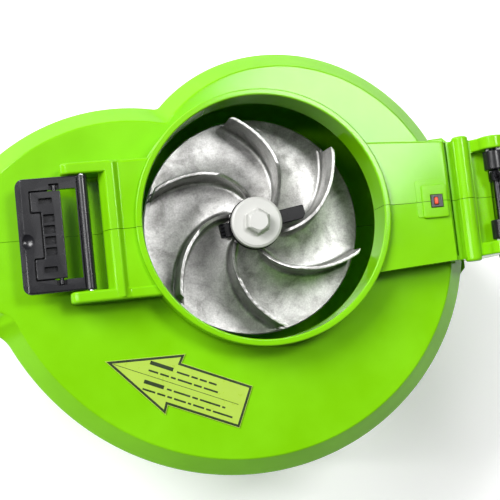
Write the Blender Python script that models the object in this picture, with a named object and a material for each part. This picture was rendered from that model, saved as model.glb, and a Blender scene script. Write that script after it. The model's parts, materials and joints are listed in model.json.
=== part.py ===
"""Electric leaf blower and vacuum power unit, lying with its air intake upwards and the intake gate open.

Frame: +Z is the impeller axis, out of the intake. X runs along the seam of the two housing halves:
-X is the tube outlet and +X is the gate hinge and handle. The origin is on the impeller axis, on the
flat end of the motor cover that the machine lies on. All lengths are in metres and all angles in degrees.
"""

import math

import bmesh
import bpy
from mathutils import Matrix, Vector

# Driving dimensions
GAP = 0.0003
WALL = 0.003
RIM_HEIGHT = 0.190
COLLAR_RISE = 0.021
SCROLL_DEPTH = 0.099
INLET_RADIUS = 0.074
COLLAR_WALL = 0.004
EDGE_SLOPE = 0.012

FACE_HEIGHT = RIM_HEIGHT - COLLAR_RISE
BACK_HEIGHT = FACE_HEIGHT - SCROLL_DEPTH

# Volute: the radius grows clockwise from the tongue, seen from the intake
TONGUE_ANGLE = 127.0
VOLUTE_END_ANGLE = -157.0
TONGUE_RADIUS = 0.094
VOLUTE_GROWTH = 0.325e-3
VOLUTE_SLOWING = 0.21e-6
VOLUTE_STEPS = 40

# Shoulder between the tongue and the outlet
SHOULDER_X = -0.081
SHOULDER_Y = -0.046
SHOULDER_RADIUS = 0.125
SHOULDER_STEPS = 8

OUTLET_BORE = 0.044
OUTLET_WALL = 0.004
OUTLET_FACE_X = -0.165
OUTLET_TIP_X = -0.215
OUTLET_HEIGHT = FACE_HEIGHT - SCROLL_DEPTH / 2

# Motor, inside a hub that stands up into the scroll
HUB_RADIUS = 0.050
HUB_TOP = 0.1175
MOTOR_BAY_RADIUS = 0.046
COVER_RADIUS = 0.052
SHAFT_RADIUS = 0.004
SHAFT_BORE = SHAFT_RADIUS + GAP
BEARING_RADIUS = 0.011

# Impeller
IMPELLER_RADIUS = 0.0700
IMPELLER_BACK = 0.120
IMPELLER_DISC_BACK = 0.1305
IMPELLER_RIM_TOP = 0.137
IMPELLER_HUB_TOP = 0.1497
IMPELLER_HUB_RADIUS = 0.016
BLADE_COUNT = 6
BLADE_TIP_ANGLE = 98.5
BLADE_SWEEP = 53.0
BLADE_CURL = 7.0
BLADE_ROOT_RADIUS = 0.0172
BLADE_TIP_RADIUS = 0.067
BLADE_CORNER_RADIUS = 0.038
BLADE_TOP = 0.1652
BLADE_THICKNESS = 0.0028
MULCHING_ANGLE = 9.0
NUT_CORNER_ANGLE = 24.7

# Arm, hinge and gate
ARM_ROOT_X = 0.062
ARM_END_X = 0.137
ARM_ROOT_HALF = 0.0405
ARM_END_HALF = 0.0365
ARM_TOP = RIM_HEIGHT - 0.003
ARM_BOTTOM = 0.130
GROOVE_DEPTH = 0.005
HINGE_X = 0.147
HINGE_Z = 0.192
LUG_INNER = 0.0285
LUG_RADIUS = 0.009
SHELF_END_X = 0.146
SHELF_HALF = 0.030
SHELF_TOP = 0.184
PIN_RADIUS = 0.0022
KNUCKLE_RADIUS = 0.0065
GATE_BOTTOM = RIM_HEIGHT + 0.0015
GATE_THICKNESS = 0.005
GATE_RADIUS = 0.083
GATE_OPEN_ANGLE = 110.0

# Latch
LATCH_X = -0.107
LATCH_Z = 0.185
LATCH_HALF = 0.034
BAIL_X = -0.1235
BRACKET_END_X = -0.1195
BRACKET_HALF = 0.0415
RIDGE_X = -0.091

# Handle
GRIP_HEIGHT = 0.030
HANDLE_HALF = 0.016
HANDLE_REAR_X = 0.163
HANDLE_LEG_X = ARM_END_X + GAP
HANDLE_TOP = 0.180
TRIGGER_X = 0.108
TRIGGER_Z = 0.0245
SOCKET_Z = 0.048

GREEN = (0.33, 0.72, 0.01)
BLACK = (0.03, 0.03, 0.033)
ALUMINIUM = (0.75, 0.75, 0.74)
STEEL = (0.55, 0.55, 0.56)
COPPER = (0.72, 0.33, 0.12)
WHITE = (0.83, 0.83, 0.80)


# ---------------------------------------------------------------- helpers

def clear_scene():
    for item in list(bpy.data.objects):
        bpy.data.objects.remove(item, do_unlink=True)


def make_object(name, mesh_builder):
    """Turn a bmesh into a linked object with outward faces."""
    bmesh.ops.remove_doubles(mesh_builder, verts=mesh_builder.verts, dist=1e-7)
    bmesh.ops.recalc_face_normals(mesh_builder, faces=mesh_builder.faces)
    mesh = bpy.data.meshes.new(name)
    mesh_builder.to_mesh(mesh)
    mesh_builder.free()
    item = bpy.data.objects.new(name, mesh)
    bpy.context.scene.collection.objects.link(item)
    return item


def loft(name, loops):
    """Skin loops of equal length, one above the other, and cap both ends."""
    bm = bmesh.new()
    rings = [[bm.verts.new(point) for point in loop] for loop in loops]
    for lower, upper in zip(rings, rings[1:]):
        for i in range(len(lower)):
            j = (i + 1) % len(lower)
            bm.faces.new((lower[i], lower[j], upper[j], upper[i]))
    bm.faces.new(rings[0])
    bm.faces.new(rings[-1])
    return make_object(name, bm)


def prism(name, outline, low, high, axis="Z"):
    """Extrude an outline from low to high. Axis Y takes (x, z) outlines, axis X takes (y, z)."""
    def place(point, level):
        a, b = point
        return {"Z": (a, b, level), "Y": (a, level, b), "X": (level, a, b)}[axis]
    return loft(name, [[place(point, level) for point in outline] for level in (low, high)])


def box(name, low, high):
    x0, y0, z0 = low
    x1, y1, z1 = high
    return prism(name, [(x0, y0), (x1, y0), (x1, y1), (x0, y1)], z0, z1)


def arc(centre, radius, start, end, steps):
    """Points on an arc, both ends included."""
    angles = [math.radians(start + (end - start) * i / steps) for i in range(steps + 1)]
    return [(centre[0] + radius * math.cos(a), centre[1] + radius * math.sin(a)) for a in angles]


def circle(centre, radius, steps):
    return arc(centre, radius, 0.0, 360.0, steps)[:-1]


def rod(name, centre, radius, low, high, axis="Y", steps=12):
    """Round bar. Centre holds the two coordinates across the axis, in X, Y, Z order."""
    return prism(name, circle(centre, radius, steps), low, high, axis)


def turned(name, profile, steps=32):
    """Spin a closed (radius, height) profile about the Z axis."""
    bm = bmesh.new()
    verts = [bm.verts.new((radius, 0.0, height)) for radius, height in profile]
    edges = [bm.edges.new((a, b)) for a, b in zip(verts, verts[1:] + verts[:1])]
    bmesh.ops.spin(bm, geom=verts + edges, cent=(0, 0, 0), axis=(0, 0, 1), dvec=(0, 0, 0),
                   angle=math.tau, steps=steps, use_merge=True, use_duplicate=False)
    return make_object(name, bm)


def ring(name, outer, inner, low, high, steps=24):
    return turned(name, [(inner, low), (outer, low), (outer, high), (inner, high)], steps)


def bake(item):
    """Replace an object's mesh with what its modifiers make of it."""
    bpy.context.view_layer.update()
    graph = bpy.context.evaluated_depsgraph_get()
    mesh = bpy.data.meshes.new_from_object(item.evaluated_get(graph))
    item.modifiers.clear()
    item.data = mesh


def combine(base, tools, operation):
    """Unite base with tools, or cut it with them; the tools are used up."""
    for tool in tools:
        modifier = base.modifiers.new("combine", "BOOLEAN")
        modifier.operation = operation
        modifier.solver = "EXACT"
        modifier.object = tool
    bake(base)
    for tool in tools:
        bpy.data.objects.remove(tool, do_unlink=True)
    return base


def unite(base, *tools):
    return combine(base, tools, "UNION")


def cut(base, *tools):
    return combine(base, tools, "DIFFERENCE")


def soften(item, width, segments=2, angle=40.0):
    """Round every edge sharper than the angle."""
    modifier = item.modifiers.new("round", "BEVEL")
    modifier.width = width
    modifier.segments = segments
    modifier.limit_method = "ANGLE"
    modifier.angle_limit = math.radians(angle)
    bake(item)
    return item


def material(name, colour, roughness, metallic):
    made = bpy.data.materials.new(name)
    made.use_nodes = True
    shader = made.node_tree.nodes["Principled BSDF"]
    shader.inputs["Base Color"].default_value = (*colour, 1.0)
    shader.inputs["Roughness"].default_value = roughness
    shader.inputs["Metallic"].default_value = metallic
    return made


def finish(item, colour, roughness=0.45, metallic=0.0, pivot=None):
    """Give the piece its material and smooth shading, and put its origin on its joint's axis."""
    item.data.materials.clear()
    item.data.materials.append(material(item.name, colour, roughness, metallic))
    item.data.shade_smooth()
    item.data.set_sharp_from_angle(angle=math.radians(35))
    if pivot:
        item.data.transform(Matrix.Translation(-Vector(pivot)))
        item.location = pivot
    return item


# ---------------------------------------------------------------- fan housing

def volute_radius(angle):
    turned_by = TONGUE_ANGLE - angle
    return TONGUE_RADIUS + VOLUTE_GROWTH * turned_by - VOLUTE_SLOWING * turned_by ** 2


def volute_point(angle, inset):
    radius = volute_radius(angle) - inset
    return (radius * math.cos(math.radians(angle)), radius * math.sin(math.radians(angle)))


def tongue_angle(inset):
    """The angle at which the volute meets the shoulder's arc, by bisection."""
    inside, outside = 100.0, 150.0
    for _ in range(40):
        middle = (inside + outside) / 2
        x, y = volute_point(middle, inset)
        if math.hypot(x - SHOULDER_X, y - SHOULDER_Y) > SHOULDER_RADIUS - inset:
            inside = middle
        else:
            outside = middle
    return inside


def scroll_outline(inset):
    """Outline of the scroll and its outlet, pulled in by inset, counter-clockwise."""
    start = tongue_angle(inset)
    volute = [volute_point(start + (VOLUTE_END_ANGLE - start) * i / VOLUTE_STEPS, inset)
              for i in range(VOLUTE_STEPS + 1)]
    neck = OUTLET_BORE + OUTLET_WALL - inset
    outlet = [(OUTLET_FACE_X, -neck), (OUTLET_FACE_X, neck)]
    radius = SHOULDER_RADIUS - inset
    first = math.degrees(math.asin((neck - SHOULDER_Y) / radius))
    x, y = volute[0]
    last = math.degrees(math.atan2(y - SHOULDER_Y, x - SHOULDER_X))
    shoulder = arc((SHOULDER_X, SHOULDER_Y), radius, 180.0 - first, last, SHOULDER_STEPS)
    return list(reversed(volute + outlet + shoulder[:-1]))


def scroll_solid(name, shell_inset, levels):
    """Stack of scroll outlines; levels are (height, inset) pairs from the back to the face."""
    loops = []
    for height, inset in levels:
        outline = scroll_outline(inset + shell_inset)
        loops.append([(x, y, height) for x, y in outline])
    return loft(name, loops)


def edge_levels(low, high):
    """Sloped edges with a soft corner at both ends of the scroll's depth."""
    slope = [(0.0, EDGE_SLOPE), (0.0006, EDGE_SLOPE - 0.0018), (0.0100, 0.0014), (0.0130, 0.0)]
    back = [(low + depth, inset) for depth, inset in slope]
    front = [(high - depth, inset) for depth, inset in reversed(slope)]
    return back + front


def latch_bracket():
    """Block beside the collar with a rounded ridge, and two walls that hold the latch pin."""
    block = box("block", (RIDGE_X, -BRACKET_HALF, 0.150), (-0.066, BRACKET_HALF, RIM_HEIGHT - 0.003))
    ridge = rod("ridge", (RIDGE_X, 0.1830), 0.0060, -BRACKET_HALF, BRACKET_HALF, steps=20)
    ridge_foot = box("ridge_foot", (RIDGE_X - 0.006, -BRACKET_HALF, 0.150), (RIDGE_X, BRACKET_HALF, 0.1830))
    walls = []
    for side in (-1, 1):
        inner = side * (LATCH_HALF + 0.0005)
        low, high = sorted((inner, side * BRACKET_HALF))
        outline = [(-0.095, 0.150), (BRACKET_END_X, 0.150), (BRACKET_END_X, 0.184),
                   (BRACKET_END_X + 0.0045, 0.1885), (-0.095, 0.1885)]
        walls.append(prism("wall", outline, low, high, "Y"))
    return unite(block, ridge, ridge_foot, *walls)


def hinge_arm():
    """Arm from the collar to the gate hinge, with a cross rib and two hinge lugs."""
    outline = [(ARM_ROOT_X, -ARM_ROOT_HALF), (ARM_END_X, -ARM_END_HALF),
               (ARM_END_X, ARM_END_HALF), (ARM_ROOT_X, ARM_ROOT_HALF)]
    arm = prism("arm", outline, ARM_BOTTOM, ARM_TOP)
    rib = rod("rib", (0.129, ARM_TOP - 0.0025), 0.0053, -0.0395, 0.0395, steps=20)
    boss = box("boss", (0.0995, -0.0100, 0.170), (0.1150, 0.0100, ARM_TOP + 0.0015))
    lugs = []
    for side in (-1, 1):
        low, high = sorted((side * LUG_INNER, side * ARM_END_HALF))
        nose = arc((HINGE_X, HINGE_Z), LUG_RADIUS, -30.0, 180.0, 12)
        foot = [(0.130, 0.180), (0.130, 0.150), (0.148, 0.150)]
        lugs.append(prism("lug", nose + foot, low, high, "Y"))
    foot_half = 0.046
    foot_low, foot_high = 0.105, 0.150
    chamfer = 0.005
    foot_outline = [(0.110, -foot_half), (0.136 - chamfer, -foot_half), (0.136, -foot_half + chamfer),
                    (0.136, foot_half - chamfer), (0.136 - chamfer, foot_half), (0.110, foot_half)]
    rear_foot = prism("rear_foot", foot_outline, foot_low, foot_high)
    shelf = box("shelf", (0.131, -SHELF_HALF, HANDLE_TOP + GAP), (SHELF_END_X, SHELF_HALF, SHELF_TOP))
    return unite(arm, rib, boss, rear_foot, shelf, *lugs)


# Screws along Y: (x, z) places, the y of each head's seat side, and the y of each tip
HOUSING_SCREWS = [(-0.080, 0.176), (0.127, 0.168), (-0.171, 0.1705), (-0.171, 0.0685)]
HOUSING_HEAD_FACES = [-0.0360, -0.0330, -0.0110, -0.0110]
HOUSING_TIPS = [0.0300, 0.0280, 0.0100, 0.0100]
HANDLE_SCREWS = [(0.062, 0.020), (0.150, 0.018), (0.150, 0.110), (0.150, 0.165)]
HANDLE_HEAD_FACE = -0.0130
HANDLE_TIP = 0.0125
RECESS_DEPTH = 0.012
SCREW_RADIUS = 0.0019
SCREW_HEAD_RADIUS = 0.0038
SCREW_HEAD_HEIGHT = 0.0026


def screw_void(place, head_face, tip):
    """Hole along Y for a screw whose head sits in a recess at head_face."""
    shank = rod("shank_void", place, SCREW_RADIUS + GAP, head_face, tip, steps=12)
    recess = rod("head_void", place, SCREW_HEAD_RADIUS + GAP, head_face - RECESS_DEPTH,
                 head_face + SCREW_HEAD_HEIGHT + GAP, steps=16)
    return unite(shank, recess)


def screw(name, place, head_face, tip):
    """Slotted screw along Y, head towards -Y."""
    shank = rod(name, place, SCREW_RADIUS, head_face + 0.001, tip - 0.001, steps=12)
    head = rod("head", place, SCREW_HEAD_RADIUS, head_face, head_face + SCREW_HEAD_HEIGHT, steps=16)
    x, z = place
    slot = box("slot", (x - 0.005, head_face - 0.001, z - 0.0005), (x + 0.005, head_face + 0.0011, z + 0.0005))
    unite(shank, head)
    return finish(cut(shank, slot), STEEL, 0.35, 1.0)


def housing_solid():
    """Both fan housing halves as one hollow body."""
    shell = scroll_solid("shell", 0.0, edge_levels(BACK_HEIGHT, FACE_HEIGHT))
    collar = turned("collar", [(0.060, 0.150), (INLET_RADIUS + COLLAR_WALL, 0.150),
                               (INLET_RADIUS + COLLAR_WALL, RIM_HEIGHT - 0.0006),
                               (INLET_RADIUS + COLLAR_WALL - 0.0006, RIM_HEIGHT), (0.060, RIM_HEIGHT)], 60)
    outlet = rod("outlet", (0.0, OUTLET_HEIGHT), OUTLET_BORE + OUTLET_WALL, OUTLET_TIP_X, -0.140, "X", 40)
    boss_reach = OUTLET_BORE + 0.012
    outlet_boss = box("outlet_boss", (-0.177, -0.013, OUTLET_HEIGHT - boss_reach),
                      (-0.160, 0.013, OUTLET_HEIGHT + boss_reach))
    unite(shell, collar, outlet, outlet_boss, latch_bracket(), hinge_arm())

    chamber = scroll_solid("chamber", WALL, [
        (BACK_HEIGHT + WALL, EDGE_SLOPE - 0.001), (BACK_HEIGHT + 0.013, 0.0),
        (FACE_HEIGHT - 0.013, 0.0), (FACE_HEIGHT - WALL, EDGE_SLOPE - 0.001)])
    cut(chamber, rod("hub", (0.0, 0.0), HUB_RADIUS, 0.060, HUB_TOP, "Z", 32))
    bore = turned("bore", [(0.0, 0.155), (INLET_RADIUS, 0.155), (INLET_RADIUS, RIM_HEIGHT - 0.0006),
                           (INLET_RADIUS + 0.0026, RIM_HEIGHT + 0.002), (0.0, RIM_HEIGHT + 0.002)], 60)
    duct = rod("duct", (0.0, OUTLET_HEIGHT), OUTLET_BORE, -0.230, -0.130, "X", 40)
    bay = rod("bay", (0.0, 0.0), MOTOR_BAY_RADIUS, 0.060, HUB_TOP - 0.0035, "Z", 32)
    shaft_hole = rod("shaft_hole", (0.0, 0.0), 0.013, 0.100, 0.125, "Z", 24)
    cut(shell, chamber, bore, duct, bay, shaft_hole)

    arm_hollow = box("arm_hollow", (0.0860, -0.032, 0.1600), (0.1135, 0.032, ARM_TOP - WALL))
    hollow_end = box("hollow_end", (0.1120, -0.032, 0.1600), (0.1200, 0.032, ARM_TOP - GROOVE_DEPTH - WALL))
    switch_well = box("switch_well", (0.1042, -0.0042, 0.170), (0.1124, 0.0042, 0.200))
    groove = box("groove", (0.1165, -0.050, ARM_TOP - GROOVE_DEPTH), (0.1232, 0.050, 0.200))
    step = box("step", (0.1346, -0.0283, SHELF_TOP), (0.150, 0.0283, 0.200))
    pin_hole = rod("pin_hole", (HINGE_X, HINGE_Z), PIN_RADIUS + GAP, -0.060, 0.060, steps=16)
    latch_hole = rod("latch_hole", (LATCH_X, LATCH_Z), 0.0018 + GAP, -0.0395, 0.0395, steps=12)
    catch_well = box("catch_well", (-0.2040, -0.0063, OUTLET_HEIGHT + 0.030), (-0.1917, 0.0063, 0.180))
    cut(shell, unite(arm_hollow, hollow_end), switch_well, groove, step, pin_hole, latch_hole, catch_well)

    voids = [screw_void(place, face, tip)
             for place, face, tip in zip(HOUSING_SCREWS, HOUSING_HEAD_FACES, HOUSING_TIPS)]
    return cut(shell, *voids)


def half_space(name, side):
    reach = 0.4
    low, high = sorted((side * GAP / 2, side * reach))
    return box(name, (-reach, low, -reach), (reach, high, reach))


def split(solid, left_name, right_name, colour, roughness):
    """Part a solid at the seam plane into a +Y half and a -Y half."""
    halves = []
    for name, side in ((left_name, 1), (right_name, -1)):
        half = bpy.data.objects.new(name, solid.data.copy())
        bpy.context.scene.collection.objects.link(half)
        combine(half, [half_space("cutter", side)], "INTERSECT")
        halves.append(finish(half, colour, roughness))
    bpy.data.objects.remove(solid, do_unlink=True)
    return halves


def build_housing():
    split(housing_solid(), "fan_housing_left", "fan_housing_right", GREEN, 0.35)
    for i, (place, face, tip) in enumerate(zip(HOUSING_SCREWS, HOUSING_HEAD_FACES, HOUSING_TIPS), 1):
        screw(f"housing_screw_{i}", place, face + GAP, tip - GAP)


# ---------------------------------------------------------------- motor

def build_motor_cover():
    """Cup over the motor, with side vents, end vents and the rear bearing's seat."""
    top = BACK_HEIGHT - GAP
    chamfer = 0.004
    cover = turned("motor_cover", [
        (0.0, 0.0), (COVER_RADIUS - chamfer, 0.0), (COVER_RADIUS, chamfer), (COVER_RADIUS, top),
        (COVER_RADIUS - WALL, top), (COVER_RADIUS - WALL, 0.008), (COVER_RADIUS - 0.008, WALL),
        (0.016, WALL), (0.016, 0.012), (BEARING_RADIUS + GAP, 0.012), (BEARING_RADIUS + GAP, WALL),
        (0.0, WALL)], 36)
    slots = []
    for i in range(1, 12):
        angle = 30.0 * i + 5.0
        slot = box("slot", (0.040, -0.0030, 0.016), (0.060, 0.0030, 0.052))
        slot.data.transform(Matrix.Rotation(math.radians(angle), 4, "Z"))
        slots.append(slot)
    for i in range(6):
        vent = box("vent", (0.022, -0.002, -0.002), (0.038, 0.002, 0.006))
        vent.data.transform(Matrix.Rotation(math.radians(60.0 * i), 4, "Z"))
        slots.append(vent)
    finish(cut(cover, *slots), BLACK, 0.5)


def build_motor():
    mount = turned("motor_mount", [
        (BEARING_RADIUS + GAP, 0.098), (0.0145, 0.098), (0.0145, 0.104), (0.0455, 0.104),
        (0.0455, 0.1078), (BEARING_RADIUS + GAP, 0.1078)], 28)
    screw_places = [(0.0405 * math.cos(math.radians(a)), 0.0405 * math.sin(math.radians(a))) for a in (90, 270)]
    holes = [rod("hole", place, SCREW_RADIUS + GAP, 0.090, 0.120, "Z", 12) for place in screw_places]
    finish(cut(mount, *holes), ALUMINIUM, 0.45, 0.9)
    for name, place in zip(("motor_screw_front", "motor_screw_rear"), screw_places):
        shank = rod(name, place, SCREW_RADIUS, 0.036, 0.110, "Z", 12)
        head = rod("head", place, 0.0036, 0.1081, 0.1110, "Z", 6)
        finish(unite(shank, head), STEEL, 0.35, 1.0)

    stator = ring("stator_core", 0.0360, 0.0300, 0.042, 0.080, 28)
    for side in (-1, 1):
        low, high = sorted((side * 0.014, side * 0.033))
        unite(stator, box("pole", (low, -0.0150, 0.042), (high, 0.0150, 0.080)))
    finish(cut(stator, rod("bore", (0.0, 0.0), 0.0223, 0.030, 0.090, "Z", 24)), STEEL, 0.5, 0.9)
    for name, side in (("field_coil_front", -1), ("field_coil_rear", 1)):
        low, high = sorted((side * 0.0165, side * 0.0205))
        coil = box(name, (low, -0.0195, 0.0377), (high, 0.0195, 0.0843))
        window = box("window", (low - 0.01, -0.0155, 0.0417), (high + 0.01, 0.0155, 0.0803))
        finish(cut(coil, window), COPPER, 0.45, 0.6)

    for name, low in (("front_bearing", 0.1003), ("rear_bearing", 0.0045)):
        finish(ring(name, BEARING_RADIUS, SHAFT_BORE, low, low + 0.007), STEEL, 0.3, 1.0)
    for side, word in ((-1, "right"), (1, "left")):
        reach = sorted((side * 0.0150, side * 0.0340))
        holder = box(f"brush_holder_{word}", (-0.0055, reach[0], 0.0195), (0.0055, reach[1], 0.0305))
        tunnel = box("tunnel", (-0.0036, reach[0] - 0.01, 0.0214), (0.0036, reach[1] + 0.01, 0.0286))
        finish(cut(holder, tunnel), BLACK, 0.6)
        reach = sorted((side * 0.0134, side * 0.0290))
        finish(box(f"carbon_brush_{word}", (-0.0033, reach[0], 0.0217), (0.0033, reach[1], 0.0283)),
               (0.05, 0.05, 0.055), 0.7)


# ---------------------------------------------------------------- rotating group

def blade_angle(radius):
    share = (BLADE_TIP_RADIUS - radius) / (BLADE_TIP_RADIUS - BLADE_ROOT_RADIUS)
    return BLADE_TIP_ANGLE - BLADE_SWEEP * share - BLADE_CURL * share ** 2


def blade_top(radius):
    """Level outside the corner, and falling to the hub's seat inside it."""
    share = (radius - BLADE_ROOT_RADIUS) / (BLADE_CORNER_RADIUS - BLADE_ROOT_RADIUS)
    return IMPELLER_HUB_TOP + (BLADE_TOP - IMPELLER_HUB_TOP) * min(1.0, max(0.0, share))


def impeller_blade(turn):
    """Spiral blade that starts inside the hub."""
    steps = 9
    reach = BLADE_TIP_RADIUS - BLADE_ROOT_RADIUS
    middle_line = []
    for radius in [BLADE_ROOT_RADIUS - 0.003] + [BLADE_ROOT_RADIUS + reach * i / steps for i in range(steps + 1)]:
        angle = math.radians(blade_angle(radius) + turn)
        middle_line.append((radius * math.cos(angle), radius * math.sin(angle), blade_top(radius)))
    base = IMPELLER_DISC_BACK + 0.0016
    taper = 0.7
    sections = []
    for i, (x, y, top) in enumerate(middle_line):
        ahead = middle_line[min(i + 1, len(middle_line) - 1)]
        behind = middle_line[max(i - 1, 0)]
        along = Vector((ahead[0] - behind[0], ahead[1] - behind[1])).normalized()
        across = Vector((-along.y, along.x)) * BLADE_THICKNESS / 2
        sections.append([(x - across.x, y - across.y, base), (x + across.x, y + across.y, base),
                         (x + across.x * taper, y + across.y * taper, top),
                         (x - across.x * taper, y - across.y * taper, top)])
    return loft("blade", sections)


def build_impeller():
    floor = [(IMPELLER_HUB_RADIUS + (IMPELLER_RADIUS - IMPELLER_HUB_RADIUS) * i / 5,
              IMPELLER_RIM_TOP + (0.1470 - IMPELLER_RIM_TOP) * (1 - i / 5) ** 2.2) for i in range(5, -1, -1)]
    profile = [(SHAFT_BORE, IMPELLER_BACK), (0.0180, IMPELLER_BACK), (0.0220, IMPELLER_DISC_BACK),
               (IMPELLER_RADIUS, IMPELLER_DISC_BACK)] + floor
    profile += [(IMPELLER_HUB_RADIUS - 0.001, IMPELLER_HUB_TOP), (SHAFT_BORE, IMPELLER_HUB_TOP)]
    impeller = turned("impeller", profile, 48)
    unite(impeller, *[impeller_blade(360.0 / BLADE_COUNT * i) for i in range(BLADE_COUNT)])
    finish(impeller, ALUMINIUM, 0.45, 0.9)


def mulching_blade():
    """Bar over the impeller hub: a long flat arm with a clipped corner, and a short upturned arm."""
    half_width = 0.0044
    long_end, short_end, clip = 0.0320, -0.0228, 0.0025
    outline = [(short_end, -half_width), (long_end - clip, -half_width), (long_end, -half_width + clip),
               (long_end, half_width), (short_end, half_width)]
    bar = prism("mulching_blade", outline, 0.1500, 0.1530)
    disc = rod("disc", (0.0, 0.0), 0.0168, 0.1500, 0.1530, "Z", 24)
    upturn = box("upturn", (short_end, -half_width, 0.1515), (short_end + 0.0028, half_width, 0.1580))
    unite(bar, disc, upturn)
    cut(bar, rod("bore", (0.0, 0.0), SHAFT_BORE, 0.140, 0.160, "Z", 16))
    bar.data.transform(Matrix.Rotation(math.radians(MULCHING_ANGLE), 4, "Z"))
    finish(bar, BLACK, 0.4, 0.3)


def build_rotor():
    finish(rod("motor_shaft", (0.0, 0.0), SHAFT_RADIUS, 0.0048, 0.1595, "Z", 20), STEEL, 0.25, 1.0)
    armature = turned("armature", [
        (SHAFT_BORE, 0.0350), (0.0130, 0.0350), (0.0150, 0.0380), (0.0150, 0.0430), (0.0217, 0.0430),
        (0.0217, 0.0790), (0.0150, 0.0790), (0.0150, 0.0840), (0.0130, 0.0865), (SHAFT_BORE, 0.0865)], 20)
    finish(armature, COPPER, 0.5, 0.5)
    finish(ring("commutator", 0.0130, SHAFT_BORE, 0.0170, 0.0345), COPPER, 0.3, 0.9)
    fan = ring("cooling_fan", 0.0350, SHAFT_BORE, 0.0880, 0.0900, 24)
    vanes = []
    for i in range(6):
        vane = box("vane", (0.0120, -0.0010, 0.0890), (0.0345, 0.0010, 0.0965))
        vane.data.transform(Matrix.Rotation(math.radians(60.0 * i), 4, "Z"))
        vanes.append(vane)
    hub = ring("fan_hub", 0.0090, SHAFT_BORE, 0.0895, 0.0965, 12)
    finish(unite(fan, hub, *vanes), BLACK, 0.55)
    build_impeller()
    mulching_blade()
    washer = ring("impeller_washer", 0.0130, SHAFT_BORE, 0.11780, 0.11970, 24)
    finish(washer, STEEL, 0.3, 1.0)

    build_nut()


def build_nut():
    """Flanged hexagon nut with a blind bore over the shaft's end."""
    across_flats = 0.0145
    corner = across_flats / math.sqrt(3)
    nut = rod("impeller_nut", (0.0, 0.0), 0.0162, 0.1533, 0.1590, "Z", 32)
    soften(nut, 0.0010, 1)
    hexagon = arc((0.0, 0.0), corner, NUT_CORNER_ANGLE, NUT_CORNER_ANGLE + 300.0, 5)
    unite(nut, prism("hexagon", hexagon, 0.1560, 0.1665))
    cut(nut, rod("bore", (0.0, 0.0), SHAFT_BORE, 0.150, 0.1600, "Z", 16))
    finish(nut, WHITE, 0.4)


# ---------------------------------------------------------------- gate

def build_gate():
    """Intake gate, modelled closed over the rim and then swung open about its hinge pin."""
    top = GATE_BOTTOM + GATE_THICKNESS
    gate = rod("intake_gate", (0.0, 0.0), GATE_RADIUS, GATE_BOTTOM, top, "Z", 48)
    tongue = box("tongue", (0.070, -0.0275, GATE_BOTTOM), (HINGE_X - 0.003, 0.0275, top))
    nose = box("nose", (-0.0960, -0.0200, GATE_BOTTOM), (-0.070, 0.0200, top))
    hook = box("hook", (-0.0960, -0.0200, top - 0.001), (-0.0925, 0.0200, top + 0.0055))
    wall = ring("wall", GATE_RADIUS, GATE_RADIUS - 0.0025, top - 0.001, top + 0.009, 48)
    knuckles = [rod("knuckle", (HINGE_X, HINGE_Z), KNUCKLE_RADIUS, low, low + 0.012, steps=20)
                for low in (-0.0275, 0.0155)]
    unite(gate, tongue, nose, hook, wall, *knuckles)

    slot_half, pitch, reach = 0.0048, 0.0150, 0.070
    openings = []
    for i in range(-4, 5):
        middle = i * pitch
        chord = math.sqrt(reach ** 2 - middle ** 2) - 0.002
        for side in (-1, 1):
            low, high = sorted((side * 0.005, side * chord))
            openings.append(box("opening", (middle - slot_half, low, 0.180), (middle + slot_half, high, 0.220)))
    spring_room = box("spring_room", (HINGE_X - 0.0085, -0.0155, 0.170), (HINGE_X + 0.010, 0.0155, 0.210))
    pin_bore = rod("pin_bore", (HINGE_X, HINGE_Z), PIN_RADIUS + GAP, -0.040, 0.040, steps=16)
    cut(gate, spring_room, pin_bore, *openings)
    finish(gate, BLACK, 0.5, pivot=(HINGE_X, 0.0, HINGE_Z))
    gate.rotation_euler.y = math.radians(GATE_OPEN_ANGLE)


def build_hinge():
    pin = rod("hinge_pin", (HINGE_X, HINGE_Z), PIN_RADIUS, -0.0375, 0.0375, steps=16)
    head = rod("head", (HINGE_X, HINGE_Z), 0.0040, -0.0390, -0.0370, steps=16)
    finish(unite(pin, head), BLACK, 0.3, 0.8)

    turns, steps_per_turn, sides = 4, 12, 5
    coil_radius, wire_radius, pitch = 0.0043, 0.0006, 0.00150
    start_y = 0.0086
    bm = bmesh.new()
    rings = []
    for i in range(turns * steps_per_turn + 1):
        turn = math.tau * i / steps_per_turn
        middle = Vector((HINGE_X + coil_radius * math.sin(turn), start_y + pitch * i / steps_per_turn,
                         HINGE_Z + coil_radius * math.cos(turn)))
        outward = Vector((math.sin(turn), 0.0, math.cos(turn)))
        rings.append([bm.verts.new(middle + wire_radius * (outward * math.cos(math.tau * j / sides)
                                                           + Vector((0, 1, 0)) * math.sin(math.tau * j / sides)))
                      for j in range(sides)])
    for lower, upper in zip(rings, rings[1:]):
        for j in range(sides):
            k = (j + 1) % sides
            bm.faces.new((lower[j], lower[k], upper[k], upper[j]))
    bm.faces.new(rings[0])
    bm.faces.new(rings[-1])
    finish(make_object("hinge_spring", bm), BLACK, 0.3, 0.8)


# ---------------------------------------------------------------- latch and interlock

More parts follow.
